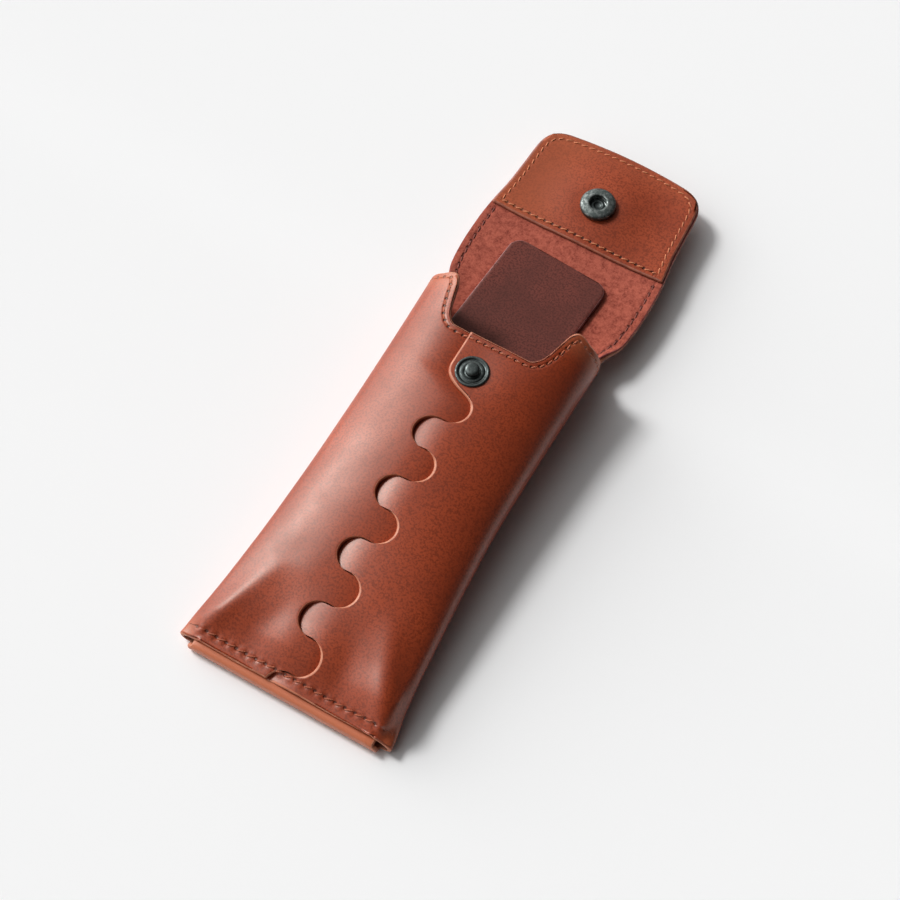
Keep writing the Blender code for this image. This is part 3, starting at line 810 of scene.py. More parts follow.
def flap_grid(start_s, start, rows, margin=0.0, bow=0.0):
    """Grid over the flap, this margin in from its outline, from a line across it to the tip. start_s are
    the places of its columns along that line, which is at u = start in the middle and bow further at the
    sides."""
    edge = inset(flap_outline(start + bow), margin)
    length = distances(edge)
    half = len(edge) // 2
    at_corner = float(np.interp(TIP_CORNER_U, edge[:half, 1], length[:half]))

    def on_edge(distance):
        return np.stack([np.interp(distance, length, edge[:, k]) for k in (0, 1)], -1)

    across = (start_s - start_s[0]) / (start_s[-1] - start_s[0])
    rise = np.linspace(0, 1, rows)
    left, right = on_edge(at_corner * rise)[:, None], on_edge(length[-1] - at_corner * rise)[:, None]
    low = np.stack([start_s, start + bow * (start_s / start_s[-1]) ** 2], -1)
    top = on_edge(at_corner + (length[-1] - 2 * at_corner) * across)
    a, b = across[None, :, None], rise[:, None, None]
    corners = (1 - a) * (1 - b) * low[0] + a * (1 - b) * low[-1] + (1 - a) * b * top[0] + a * b * top[-1]
    return (1 - b) * low[None] + b * top[None] + (1 - a) * left + a * right - corners


def inset(outline, distance):
    """The outline moved inwards, for a row of stitches. Inwards is to the right of its direction."""
    heading = unit(np.gradient(outline, axis=0))
    return outline + np.stack([heading[:, 1], -heading[:, 0]], 1) * distance


# Materials


def feed(tree, socket, value):
    """Gives a socket a plain number, a colour of three parts, or another node's output."""
    if isinstance(value, tuple):
        socket.default_value = (*value, 1)
    elif isinstance(value, (int, float)):
        socket.default_value = value
    else:
        tree.links.new(value, socket)


def new_group(name, numbers, outputs, vector=True):
    """A node group with these numbers as inputs, after a vector if asked for, and these outputs."""
    group = bpy.data.node_groups.new(name, "ShaderNodeTree")
    if vector:
        group.interface.new_socket("Vector", in_out="INPUT", socket_type="NodeSocketVector")
    for label, value in numbers.items():
        socket = group.interface.new_socket(label, in_out="INPUT", socket_type="NodeSocketFloat")
        socket.default_value = value
    for label in outputs:
        group.interface.new_socket(label, in_out="OUTPUT", socket_type="NodeSocketFloat")
    return group, group.nodes.new("NodeGroupInput").outputs, group.nodes.new("NodeGroupOutput").inputs


def maths(tree, operation, a, b=None):
    node = tree.nodes.new("ShaderNodeMath")
    node.operation = operation
    feed(tree, node.inputs[0], a)
    if b is not None:
        feed(tree, node.inputs[1], b)
    return node.outputs[0]


def times(tree, a, b):
    return maths(tree, "MULTIPLY", a, b)


def plus(tree, a, b):
    return maths(tree, "ADD", a, b)


def ranged(tree, value, low, high, to_low=0.0, to_high=1.0):
    """A value between low and high, eased to between two others."""
    node = tree.nodes.new("ShaderNodeMapRange")
    node.interpolation_type = "SMOOTHSTEP"
    ends = {"From Min": low, "From Max": high, "To Min": to_low, "To Max": to_high}
    for key, given in ends.items():
        feed(tree, node.inputs[key], given)
    feed(tree, node.inputs["Value"], value)
    return node.outputs[0]


def noise(tree, vector, scale, detail=3.0, rough=0.55):
    node = tree.nodes.new("ShaderNodeTexNoise")
    for key, given in (("Vector", vector), ("Scale", scale), ("Detail", detail), ("Roughness", rough)):
        feed(tree, node.inputs[key], given)
    return node.outputs[0]


def mixed(tree, factor, a, b):
    """Colour between a and b."""
    node = tree.nodes.new("ShaderNodeMix")
    node.data_type = "RGBA"
    node.clamp_result = True
    for place, value in ((0, factor), (6, a), (7, b)):
        feed(tree, node.inputs[place], value)
    return node.outputs[2]


def carried(tree, field):
    """A value that the sheet carries at its vertices."""
    node = tree.nodes.new("ShaderNodeAttribute")
    node.attribute_name = field
    return node.outputs["Fac"]


def hide_grain_group():
    """Smooth dyed hide: slow clouds in the dye, fine pores, and a height for the pores and their creases."""
    numbers = {"Cloud Scale": 45.0, "Pore Scale": 2200.0}
    group, given, result = new_group("hide_grain", numbers, ("Clouds", "Pores", "Height"))
    clouds = noise(group, given["Vector"], given["Cloud Scale"], 4.0, 0.6)
    pores = noise(group, given["Vector"], times(group, given["Pore Scale"], 0.6), 2.0, 0.6)
    cells = group.nodes.new("ShaderNodeTexVoronoi")
    cells.feature = "DISTANCE_TO_EDGE"
    feed(group, cells.inputs["Vector"], given["Vector"])
    feed(group, cells.inputs["Scale"], given["Pore Scale"])
    creases = ranged(group, cells.outputs["Distance"], 0.0, 0.12)
    feed(group, result["Clouds"], clouds)
    feed(group, result["Pores"], pores)
    feed(group, result["Height"], plus(group, times(group, pores, 0.7), times(group, creases, 0.3)))
    return group


def nap_group():
    """Suede: short fibres brushed this way and that."""
    numbers = {"Fibre Scale": 1300.0, "Brush Scale": 420.0}
    group, given, result = new_group("suede_nap", numbers, ("Fibres", "Brushed", "Height"))
    fibres = noise(group, given["Vector"], given["Fibre Scale"], 4.0, 0.75)
    brushed = noise(group, given["Vector"], given["Brush Scale"], 5.0, 0.65)
    feed(group, result["Fibres"], fibres)
    feed(group, result["Brushed"], brushed)
    feed(group, result["Height"], plus(group, times(group, fibres, 0.65), times(group, brushed, 0.35)))
    return group


def stitch_mark_group():
    """Awl holes and the groove that the thread pulls, from the distances that the sheet carries."""
    numbers = {"Hole Size": 0.46, "Groove Width": 1.1, "Pucker Width": 2.6}
    group, given, result = new_group("stitch_marks", numbers, ("Holes", "Groove", "Height"), vector=False)
    along, side, show, pull = (carried(group, field) for field in STITCH_FIELDS)
    from_hole = maths(group, "SUBTRACT", maths(group, "FRACT", plus(group, along, 0.5)), 0.5)
    turn = maths(group, "ABSOLUTE", from_hole)
    run = times(group, turn, FLAP_PITCH)
    away = maths(group, "SQRT", plus(group, times(group, run, run), times(group, side, side)))
    hard, soft = times(group, given["Hole Size"], 0.6), times(group, given["Hole Size"], 1.7)
    holes = times(group, ranged(group, away, hard, soft, 1.0, 0.0), show)
    off = maths(group, "ABSOLUTE", side)
    groove = ranged(group, off, 0.0, given["Groove Width"], 1.0, 0.0)
    groove = times(group, groove, maths(group, "MAXIMUM", show, pull))
    puckers = times(group, ranged(group, off, 0.3, given["Pucker Width"], 1.0, 0.0), pull)
    swell = times(group, ranged(group, turn, 0.05, 0.45), puckers)
    depth = plus(group, times(group, holes, -1.0), times(group, groove, -0.45))
    feed(group, result["Holes"], holes)
    feed(group, result["Groove"], groove)
    feed(group, result["Height"], plus(group, depth, times(group, swell, 0.5)))
    return group


HIDE_GRAIN, SUEDE_NAP, STITCH_MARKS = hide_grain_group(), nap_group(), stitch_mark_group()


def place_group(tree, group, **values):
    """A group's outputs, with these values in its inputs."""
    node = tree.nodes.new("ShaderNodeGroup")
    node.node_tree = group
    for key, value in values.items():
        feed(tree, node.inputs[key.replace("_", " ")], value)
    return node.outputs


def start_material(name):
    """A material, its nodes, its shader's sockets, and the place on the object."""
    material = bpy.data.materials.new(name)
    material.use_nodes = True
    tree = material.node_tree
    shader = tree.nodes["Principled BSDF"].inputs
    where = tree.nodes.new("ShaderNodeTexCoord").outputs["Object"]
    return material, tree, shader, where


def bump(tree, shader, height, distance, strength, before=None):
    """Relief this deep in millimetres, over the relief before it."""
    node = tree.nodes.new("ShaderNodeBump")
    feed(tree, node.inputs["Distance"], distance * MM)
    feed(tree, node.inputs["Strength"], strength)
    feed(tree, node.inputs["Height"], height)
    if before:
        feed(tree, node.inputs["Normal"], before)
    feed(tree, shader["Normal"], node.outputs[0])
    return node.outputs[0]


def stitched(tree, shader, colour, normal, groove_tone, hole_shade_tone, groove_share, hole_share, depth):
    """The colour with the marks of the stitches: darker along their groove, with painted shade in their holes.
    Their relief goes over the leather's own.
    """
    marks = place_group(tree, STITCH_MARKS)
    colour = mixed(tree, times(tree, marks["Groove"], groove_share), colour, groove_tone)
    # Painted shade in the holes
    colour = mixed(tree, times(tree, marks["Holes"], hole_share), colour, hole_shade_tone)
    bump(tree, shader, marks["Height"], depth, 0.8, normal)
    return colour


# Painted light: the colour that the hide is painted towards where light falls on it
PAINTED_LIGHT_TAN = (0.60, 0.175, 0.078)
PORE_TONE = 0.62
PORE_SHARE = 0.75


def hide(name, dark, light, hole_shade, rough=(0.33, 0.43), shine=0.5, marks=True):
    """Smooth leather, dyed between two tones, darker in its pores, with painted shade in the holes of its
    stitches, and painted lighter where the sheet carries painted light.
    """
    material, tree, shader, where = start_material(name)
    grains = place_group(tree, HIDE_GRAIN, Vector=where)
    pore = maths(tree, "SUBTRACT", 1.0, ranged(tree, grains["Pores"], 0.38, 0.56))
    colour = mixed(tree, ranged(tree, grains["Clouds"], 0.3, 0.72), dark, light)
    colour = mixed(tree, times(tree, pore, PORE_SHARE), colour, tuple(PORE_TONE * part for part in dark))
    normal = bump(tree, shader, grains["Height"], 0.03, 0.6)
    shader["Specular IOR Level"].default_value = shine
    shader["Specular Tint"].default_value = (1.0, 0.96, 0.88, 1)
    if marks:
        colour = stitched(tree, shader, colour, normal, dark, hole_shade, 0.3, 0.92, 0.45)
    # Painted light, as much as the sheet carries
    colour = mixed(tree, carried(tree, "painted_light"), colour, PAINTED_LIGHT_TAN)
    feed(tree, shader["Base Color"], colour)
    feed(tree, shader["Roughness"], ranged(tree, grains["Clouds"], 0.25, 0.75, rough[1], rough[0]))
    return material


def napped(name, dark, light, hole_shade, sheen=0.25):
    """Suede, or the flesh side of the leather."""
    material, tree, shader, where = start_material(name)
    naps = place_group(tree, SUEDE_NAP, Vector=where)
    tone = ranged(tree, naps["Brushed"], 0.28, 0.72)
    fibre = ranged(tree, naps["Fibres"], 0.35, 0.68)
    colour = mixed(tree, times(tree, tone, 0.7), dark, light)
    colour = mixed(tree, times(tree, fibre, 0.6), colour, light)
    normal = bump(tree, shader, naps["Height"], 0.35, 0.7)
    colour = stitched(tree, shader, colour, normal, dark, hole_shade, 0.35, 0.9, 0.5)
    feed(tree, shader["Base Color"], colour)
    shader["Roughness"].default_value = 0.92
    shader["Specular IOR Level"].default_value = 0.2
    shader["Sheen Weight"].default_value = sheen
    shader["Sheen Roughness"].default_value = 0.5
    shader["Sheen Tint"].default_value = (1.0, 0.75, 0.7, 1)
    return material


def burnished(name, dark, light):
    """The cut edge, rubbed smooth: tight fibres along the leather."""
    material, tree, shader, where = start_material(name)
    grains = place_group(tree, HIDE_GRAIN, Vector=where, Cloud_Scale=300.0, Pore_Scale=2600.0)
    feed(tree, shader["Base Color"], mixed(tree, ranged(tree, grains["Clouds"], 0.3, 0.7), dark, light))
    bump(tree, shader, grains["Height"], 0.06, 0.6)
    feed(tree, shader["Roughness"], ranged(tree, grains["Pores"], 0.3, 0.7, 0.55, 0.4))
    return material


def waxed_thread(name, dark, light):
    """Twisted thread, a little fuzzy under its wax."""
    material, tree, shader, where = start_material(name)
    twist = tree.nodes.new("ShaderNodeTexWave")
    twist.bands_direction = "DIAGONAL"
    for key, given in (("Scale", 900.0), ("Distortion", 1.5), ("Vector", where)):
        feed(tree, twist.inputs[key], given)
    strand = twist.outputs["Fac"]
    colour = mixed(tree, ranged(tree, strand, 0.2, 0.8), dark, light)
    colour = mixed(tree, times(tree, noise(tree, where, 1800.0), 0.3), colour, dark)
    feed(tree, shader["Base Color"], colour)
    bump(tree, shader, strand, 0.12, 0.8)
    shader["Roughness"].default_value = 0.6
    return material


def gunmetal(name, dark, light, rough=(0.28, 0.5), speckle=0.03):
    """Blackened brass, rubbed lighter in a fine mottle."""
    material, tree, shader, where = start_material(name)
    mottle = noise(tree, where, 700.0, 5.0, 0.7)
    rub = noise(tree, where, 2600.0, 2.0, 0.6)
    feed(tree, shader["Base Color"], mixed(tree, ranged(tree, mottle, 0.42, 0.68), dark, light))
    feed(tree, shader["Roughness"], ranged(tree, mottle, 0.35, 0.7, rough[1], rough[0]))
    shader["Metallic"].default_value = 1.0
    bump(tree, shader, rub, speckle, 0.6)
    return material


# Painted shade in the stitch holes of the hide and of the suede
AWL_HOLE_SHADE = (0.02, 0.006, 0.004)
SUEDE_HOLE_SHADE = (0.03, 0.006, 0.006)
SATIN = (0.42, 0.55)

TAN = hide("tan_leather", (0.288, 0.040, 0.0112), (0.362, 0.056, 0.0175), AWL_HOLE_SHADE, shine=0.58)
TAN_FACING = hide("tan_facing", (0.270, 0.042, 0.0145), (0.375, 0.068, 0.026), AWL_HOLE_SHADE, SATIN, 0.25)
TAN_EDGE = burnished("tan_edge", (0.40, 0.115, 0.055), (0.58, 0.23, 0.13))
FACING_EDGE = burnished("facing_edge", (0.20, 0.045, 0.02), (0.36, 0.10, 0.05))
TAN_FLESH = napped("tan_flesh", (0.26, 0.09, 0.05), (0.42, 0.17, 0.10), (0.03, 0.01, 0.008))
RED_SUEDE = napped("red_suede", (0.165, 0.023, 0.014), (0.53, 0.133, 0.083), SUEDE_HOLE_SHADE, sheen=0.2)
SUEDE_EDGE = napped("suede_edge", (0.20, 0.04, 0.035), (0.36, 0.10, 0.09), SUEDE_HOLE_SHADE)
PLUM = hide("plum_leather", (0.105, 0.0225, 0.0165), (0.165, 0.038, 0.028), None, SATIN, 0.25, marks=False)
PLUM_EDGE = burnished("plum_edge", (0.14, 0.05, 0.045), (0.34, 0.16, 0.15))
THREAD = waxed_thread("tan_thread", (0.52, 0.15, 0.06), (0.80, 0.30, 0.14))
LEATHER_THREAD = waxed_thread("leather_thread", (0.30, 0.062, 0.024), (0.46, 0.12, 0.05))
MOUTH_THREAD = waxed_thread("mouth_thread", (0.40, 0.095, 0.04), (0.62, 0.19, 0.09))
RUST_THREAD = waxed_thread("rust_thread", (0.16, 0.035, 0.025), (0.30, 0.075, 0.05))
GUNMETAL = gunmetal("gunmetal", (0.060, 0.070, 0.068), (0.150, 0.170, 0.165))
GUNMETAL_WORN = gunmetal("gunmetal_worn", (0.085, 0.10, 0.095), (0.27, 0.29, 0.28), (0.36, 0.6), speckle=0.09)
GUNMETAL_RUBBED = gunmetal("gunmetal_rubbed", (0.12, 0.13, 0.125), (0.30, 0.32, 0.31), (0.24, 0.4))


# Pouch leather, from the tab round the back, sides and wings, and on into the flap's root

WING_COLUMNS = 24
LOBE_STEPS = 18


def mouth_columns():
    """Places across the front, evenly along the mouth's edge."""
    x = np.linspace(NOTCH_EDGE[0][0], SIDE_START_X, 400)
    y = mouth_top(x)
    length = np.concatenate([[0], np.cumsum(np.hypot(np.diff(x), np.diff(y)))])
    return np.interp(np.linspace(0, length[-1], 34), length, x)


FRONT_XS = mouth_columns()
LOW_PARTS = np.linspace(ROOT_PART, 1, 8)[:-1]
SIDE_PARTS = np.concatenate([np.linspace(0, ROOT_PART, 24)[1:-1], LOW_PARTS])
BACK_PARTS = np.linspace(0, 1, 9)


def ripple(points):
    """How far the hide stands off its plain section: slow waves, a crown along the seam, a hollow where
    the stud is pressed in, and near the bottom edge a rise from the left to a crease at the right."""
    x, y = points[:, 0], points[:, 1]
    waves = np.sin(0.21 * x + 0.083 * y + 0.7) * np.sin(0.113 * y - 0.071 * x + 1.9)
    waves += 0.6 * np.sin(0.31 * x - 0.17 * y + 2.4) * np.cos(0.067 * y + 0.4)
    rise = 0.9 * smooth((x + 21) / 14) + 0.7 * smooth((x + 2) / 30) + 0.8 * smooth((x - 14) / 20)
    rise *= 1 - smooth((x - 34.5) / 6)
    crown = table(CROWN_TABLE, 1, y) * np.exp(-((x / CROWN_WIDTH) ** 2))
    pressed = PRESS_DEPTH * np.exp(-(x**2 + (y - STUD_Y) ** 2) / PRESS_SPREAD)
    return WAVE_HEIGHT * waves + table(SWAY_TABLE, 1, y) * rise + crown - pressed


def level_row(y):
    """For a row that stays level across the pouch."""
    return lambda tops: np.full(len(tops), float(y))


def rising_row(start, part):
    """For a row that lies this part of the way from start to the pouch's own top at each place."""
    return lambda tops: start + (tops - start) * part


def leather_rows():
    """Each row of the wings, from the bottom edge up: its height, and the free edges of the two wings."""
    seam = seam_rows(LOBE_STEPS)
    rows = [(level_row(y), left, right) for y, left, right in seam]
    start = seam[-1][0]
    for part in np.linspace(0, 1, 44)[1:]:
        right = bezier(SNAP_TURN, min(part / SNAP_TURN_PART, 1.0))
        if part > SNAP_TURN_PART:
            beyond = (part - SNAP_TURN_PART) / (1 - SNAP_TURN_PART)
            right = (SNAP_EDGE_X, right[1] + (NOTCH_Y - right[1]) * beyond)
        rows.append((rising_row(start, part), (UNDER_EDGE_X, start + (NOTCH_Y - start) * part), right))
    return rows


def tab_rows(base):
    """Rows of the bottom tab: from the back's lowest row down, round and up between back and wings."""
    turns = np.linspace(0, math.pi, 25)[1:]
    across, down = (np.sign(part) * np.abs(part) ** TAB_SQUARE for part in (np.cos(turns), np.sin(turns)))
    leaf = [(2 * TAB_RADIUS, y) for y in np.linspace(0, TAB_LEAF, 7)[1:]]
    rows = []
    for z, y in list(zip(TAB_RADIUS * (1 - across), -TAB_RADIUS * down)) + leaf:
        half_width = TAB_HALF_WIDTH - TAB_TAPER * smooth((z - TAB_RADIUS) / TAB_RADIUS)
        x = base[:, 0] * half_width / TAB_TOP_FLAT
        rows.append(np.stack([x, np.full(len(x), y), np.full(len(x), z)], 1))
    return rows


def root_rows(height):
    """Rows of the flap's root, this high over the leather's outside."""
    rows = []
    for u in np.concatenate([np.linspace(0, ROOT_BEND, 16)[1:], np.linspace(ROOT_BEND, SPLIT_U, 10)[1:]]):
        s = root_places() * flap_width(u) / ROOT_HALF_WIDTH
        rows.append(flap_point(s, np.full(len(s), u), height))
    return rows


def numbered(first_line, rows, first):
    """Vertex numbers of a line that is there and of the rows that go on from it, numbered from first."""
    lines = [first_line]
    for row in rows:
        lines.append(np.arange(first, first + len(row)))
        first += len(row)
    return np.array(lines)


def pouch_leather():
    """Points, faces, the vertex numbers of the pouch's rows, and those of the last row of the flap's root."""
    halves = []
    for y_of, left, right in leather_rows():
        for side, edge, level in ((-1, left, left_level), (1, right, right_level)):
            y_joint = float(y_of(np.array([NOTCH_Y]))[0])
            near = wing(side, edge, y_joint, level, WING_COLUMNS)
            mirrored = lambda x, y, side=side, level=level: level(side * x, y)
            far = half_row(y_of, FRONT_XS, SIDE_PARTS, BACK_PARTS, 0.0, mirrored)
            halves.append(np.concatenate([near, far * [side, 1, 1]]))
    body = np.array([[*left, *right[:-1][::-1]] for left, right in zip(halves[::2], halves[1::2])])
    n_rows, n_columns = body.shape[:2]
    index = np.arange(n_rows * n_columns).reshape(n_rows, n_columns)
    half = WING_COLUMNS + len(FRONT_XS) + len(SIDE_PARTS)
    back = slice(half, n_columns - half)
    tab = tab_rows(body[0, back])
    tab_index = numbered(index[0, back], tab, index.size)
    root = slice(half - len(LOW_PARTS), n_columns - half + len(LOW_PARTS))
    root_row_points = root_rows(0.0)
    root_index = numbered(index[-1, root], root_row_points, int(tab_index[-1, -1]) + 1)
    faces = grid(index) + grid(tab_index[::-1]) + grid(root_index)
    faces = [tuple(reversed(face)) for face in faces]
    points = np.concatenate([body.reshape(-1, 3)] + tab + root_row_points)
    front = np.arange(len(points)) < index.size
    on_top = np.clip((points[:, 2] - 3) / 5, 0, 1) * front
    points += vertex_normals(points, faces) * (ripple(points) * on_top)[:, None]
    return points, faces, index, root_index[-1]


def root_places():
    """Distances from the middle of the back, at the root, of the columns that go on into the flap."""
    side = BACK_ARC + (1 - LOW_PARTS) * SIDE_ARC
    right = np.concatenate([side, BACK_ARC * (1 - BACK_PARTS)])
    return np.concatenate([-right, right[:-1][::-1]])


points, faces, index, last_row = pouch_leather()
skin = BVHTree.FromPolygons([tuple(p) for p in points], faces)


def normals_at(line):
    """The leather's outward direction nearest to each point of a line."""
    return np.array([skin.find_nearest(Vector(p))[1][:] for p in line])


def drop_on(xs, ys):
    """The front's surface under each (x, y)."""
    above = 60.0
    return np.array([skin.ray_cast(Vector((x, y, above)), Vector((0, 0, -1)))[0][:] for x, y in zip(xs, ys)])


def shoulder_line(columns):
    """Places below the top of these columns of the pouch's leather, as far as the mouth's stitches are."""
    found = []
    for column in columns:
        line = points[index[::-1, column]]
        length = distances(line)
        found.append([np.interp(MOUTH_INSET, length, line[:, k]) for k in range(3)])
    return np.array(found)


bottom_line = resample(drop_on(np.linspace(-36.5, 36.5, 120), np.full(120, BOTTOM_Y)), BOTTOM_PITCH)
rim_x = np.concatenate([-FRONT_XS[::-1], np.linspace(-13, 13, 27), FRONT_XS])
rim = inset(resample(np.stack([rim_x, mouth_top(rim_x)], 1), 0.8), MOUTH_INSET)
rim = rim[np.abs(rim[:, 0]) < 27.5]
side_columns = WING_COLUMNS + len(FRONT_XS) + np.where(SIDE_PARTS < ROOT_PART - 0.16)[0]
left_shoulder = shoulder_line(side_columns[::-1])
right_shoulder = shoulder_line(index.shape[1] - 1 - side_columns)
mouth_line = np.concatenate([left_shoulder, drop_on(rim[:, 0], rim[:, 1]), right_shoulder])
mouth_line = resample(mouth_line, MOUTH_PITCH)

# The rubbed edges of the wings are wide round the bulges and narrow in between
edge_width = np.full(len(points), 0.75)
for free_edge, side, widest in ((index[:, 0], -1, 0.45), (index[:, -1], 1, 0.85)):
    lobes = free_edge[points[free_edge, 1] < LAST_RIGHT_BULGE + 5]
    edge_width[lobes] = 0.03 + widest * np.clip(points[lobes, 0] * side / NOTCH_DEPTH, 0.0, 1.0)
edge_width[index[0]] = np.minimum(edge_width[index[0]], 0.4)

# Painted light: the leather is painted lighter round the tab's bend, along the mouth's edge and at the bottom
# corners, where light falls on it
px, py, pz = points.T
painted_light = np.where(py < 0, 0.8, 0.0) + 0.35 * smooth((py - 147) / 9) * (pz > 6)
painted_light += 0.35 * (1 - smooth((py - 1) / 9)) * smooth((np.abs(px) - 35) / 4) * (py >= 0)

outer = sheet(
    "pouch_leather", points, faces, LEATHER, edge_width, None, (TAN, TAN_EDGE, TAN_FLESH), joined=last_row,
    marks=[(bottom_line, BOTTOM_PITCH, 0.8, 1.0), (mouth_line, MOUTH_PITCH, 1.0, 0.0)],
    profile=RUBBED_EDGE, light_paint=painted_light,
)
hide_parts("outer_shell", "bottom_tab", "flap_spine_leather")
ROOT_START = to_frame([0, HINGE_Y, AXIS_V])
ROOT_END = to_frame([0, HINGE_Y + ROOT_BEND, AXIS_V])
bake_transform(outer)

back_line = bottom_line * [1, 0, 0] + [0, BOTTOM_Y, 0]
for name, line, radius, finish, slant, rise in (
    ("bottom_stitches", bottom_line, 0.33, LEATHER_THREAD, 0.6, 0.2),
    ("bottom_back_stitches", back_line, 0.33, LEATHER_THREAD, 0.6, 0.2),
    ("mouth_stitches", mouth_line, 0.27, MOUTH_THREAD, 0.25, 0.16),
):
    made = threads(name, line, normals_at(line), radius, finish, "pouch", slant, rise)


# Flap tip: its leather, suede and facing


def flap_sheet(
    name, start_s, start, rows, low, thick, body, finishes, edge, joined,
    marks=(), up=True, margin=0.0, bow=0.0, light_paint_at=None,
):
    """A sheet of the flap from the line u = start to the tip. Its face is its upper side, at low + thick,
    or else its lower one, at low."""
    flat = flap_grid(start_s, start, rows, margin, bow)
    s, u = flat[..., 0], flat[..., 1]
    surface = flap_point(s, u, low + thick if up else low).reshape(-1, 3)
    index = np.arange(s.size).reshape(s.shape)
    faces = grid(index)
    if not up:
        faces = [tuple(reversed(face)) for face in faces]
    # Painted light on the sheet, where the caller gives it
    light_paint = light_paint_at(s, u).ravel() if light_paint_at else None
    joined = index[0] if joined else ()
    return sheet(name, surface, faces, thick, edge, body, finishes, joined, marks, light_paint=light_paint)


def lifted(line, v):
    """A line in (s, u) as points this high over the leather's outside."""
    return flap_point(line[:, 0], line[:, 1], v)


def facing_up(line, up=1):
    """Straight up or down, at each point of a line."""
    return np.tile(np.array([0, 0, float(up)]), (len(line), 1))


tip_s = root_places() * float(flap_width(SPLIT_U)) / ROOT_HALF_WIDTH
FOLD_START, FOLD_END = (
    tuple(float(c) for c in to_frame(flap_point(0.0, FOLD_U + d, AXIS_V))) for d in (0.0, FOLD_BEND)
)

# Stitch lines of the flap, in (s, u)
low_u = FACING_START + FACING_STITCH_LOW
low_s = float(flap_width(low_u)) - FACING_STITCH_CORNER
facing_round = inset(resample(flap_outline(FACING_START), 0.8), FACING_STITCH_INSET)
facing_round = facing_round[facing_round[:, 1] > low_u]
facing_across = np.stack([np.linspace(low_s, -low_s, 60), np.full(60, low_u)], 1)
facing_loop = resample(np.concatenate([facing_round, facing_across, facing_round[:1]]), FLAP_PITCH)
low_row = (facing_loop[:, 1] < low_u + 0.1) & (np.arange(len(facing_loop)) > len(facing_loop) / 2)
facing_lower, facing_upper = facing_loop[low_row], facing_loop[: int(np.argmax(low_row))]
side_us = np.linspace(2.0, FACING_START - 0.6, 60)
side_line = np.stack([flap_width(side_us) - SIDE_STITCH_INSET, side_us], 1)
root_side = resample(side_line[side_line[:, 1] < SPLIT_U], FLAP_PITCH)
tip_side = resample(side_line[side_line[:, 1] >= SPLIT_U], FLAP_PITCH)
SUEDE_TOP = SUEDE_V + SUEDE


def flap_marks(lines, v, strength=0.8):
    """Holes along these lines of the flap's stitches, on a sheet whose face is this high."""
    return [(lifted(line, v), FLAP_PITCH, strength, 0.0) for line in lines]


tip_leather = flap_sheet(
    "flap_tip_leather_face", tip_s, SPLIT_U, 60, 0.0, LEATHER, None, (TAN, TAN_EDGE, TAN_FLESH), 0.7, True,
    up=False, marks=flap_marks((facing_loop, tip_side, tip_side * [-1, 1]), 0.0),
)
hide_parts("flap_tip_leather")
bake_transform(tip_leather)

tip_suede = flap_sheet(
    "flap_tip_suede_face", tip_s, SPLIT_U, 60, SUEDE_V - 0.2, SUEDE + 0.2, None,
    (RED_SUEDE, SUEDE_EDGE, TAN_FLESH), 0.3, True,
    marks=flap_marks((tip_side, tip_side * [-1, 1]), SUEDE_TOP),
)
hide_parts("flap_tip_suede")
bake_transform(tip_suede)

facing_half = float(flap_width(FACING_START)) - FACING_INSET
facing = flap_sheet(
    "tip_facing", np.linspace(-facing_half, facing_half, 61), FACING_START, 42, FACING_V, FACING, "flap_tip",
    (TAN_FACING, FACING_EDGE, TAN_FLESH), 0.75, False, margin=FACING_INSET, bow=FACING_BOW,
    marks=flap_marks([facing_lower], FACING_TOP, 1.0) + flap_marks([facing_upper], FACING_TOP, 0.15),
    # Painted light: the facing is painted lighter towards its left side, where the highlight falls, and a little
    # lighter towards its tip
    light_paint_at=lambda s, u: 0.24 * smooth((-s - 4) / 22) + 0.1 * smooth((u - 74) / 10),
)
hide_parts("flap_facing")

for name, v, up, radius, slant in (
    ("facing_stitches", FACING_TOP, 1, 0.26, 0.4),
    ("flap_back_stitches", 0.0, -1, 0.28, 0.28),
):
    line, ups = lifted(facing_loop, v), facing_up(facing_loop, up)
    made = threads(name, line, ups, radius, THREAD, "flap_tip", slant)
for side, label in ((1, "right"), (-1, "left")):
    for line, zone, bodies, start, end in (
        (root_side, "root", ("pouch", "flap_spine"), ROOT_START, ROOT_END),
        (tip_side, "spine", ("flap_spine", "flap_tip"), FOLD_START, FOLD_END),
    ):
        row = line * [side, 1]
        for v, up, colour, face in ((SUEDE_TOP, 1, RUST_THREAD, "inner"), (0.0, -1, THREAD, "outer")):
            name = f"side_stitches_{label}_{zone}_{face}"
            made = threads(name, lifted(row, v), facing_up(row, up), 0.26, colour, None)
            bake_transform(made)


# Lining: suede down the pouch and up the flap's root

LINING_FRONT_X = 16.5
LINING_START = 9.5
LINING_SHORT = 0.6


def lining_row(part):
    """For a row this part of the way up the lining, whose top ends a little short of the mouth's edge."""
    below_mouth = lambda tops: tops - LINING_SHORT * (tops < HINGE_Y - 0.01)
    return lambda tops: LINING_START + (below_mouth(tops) - LINING_START) * part


def lining():
    """Points and faces of the lining, and the vertex numbers of its last row."""
    xs = np.concatenate([[LINING_FRONT_X], FRONT_XS[FRONT_XS > 17.2]])
    rows = []
    for part in np.linspace(0, 1, 90):
        row = half_row(lining_row(part), xs, SIDE_PARTS, BACK_PARTS, SUEDE_TOP)
        rows.append(np.concatenate([row * [-1, 1, 1], row[:-1][::-1]]))
    body = np.array(rows)
    index = np.arange(body.shape[0] * body.shape[1]).reshape(body.shape[:2])
    low = len(xs) + len(SIDE_PARTS) - len(LOW_PARTS)
    root_row_points = root_rows(SUEDE_TOP)
    root_index = numbered(index[-1, low:-low], root_row_points, index.size)
    points = np.concatenate([body.reshape(-1, 3)] + root_row_points)
    return points, grid(index) + grid(root_index), root_index[-1]


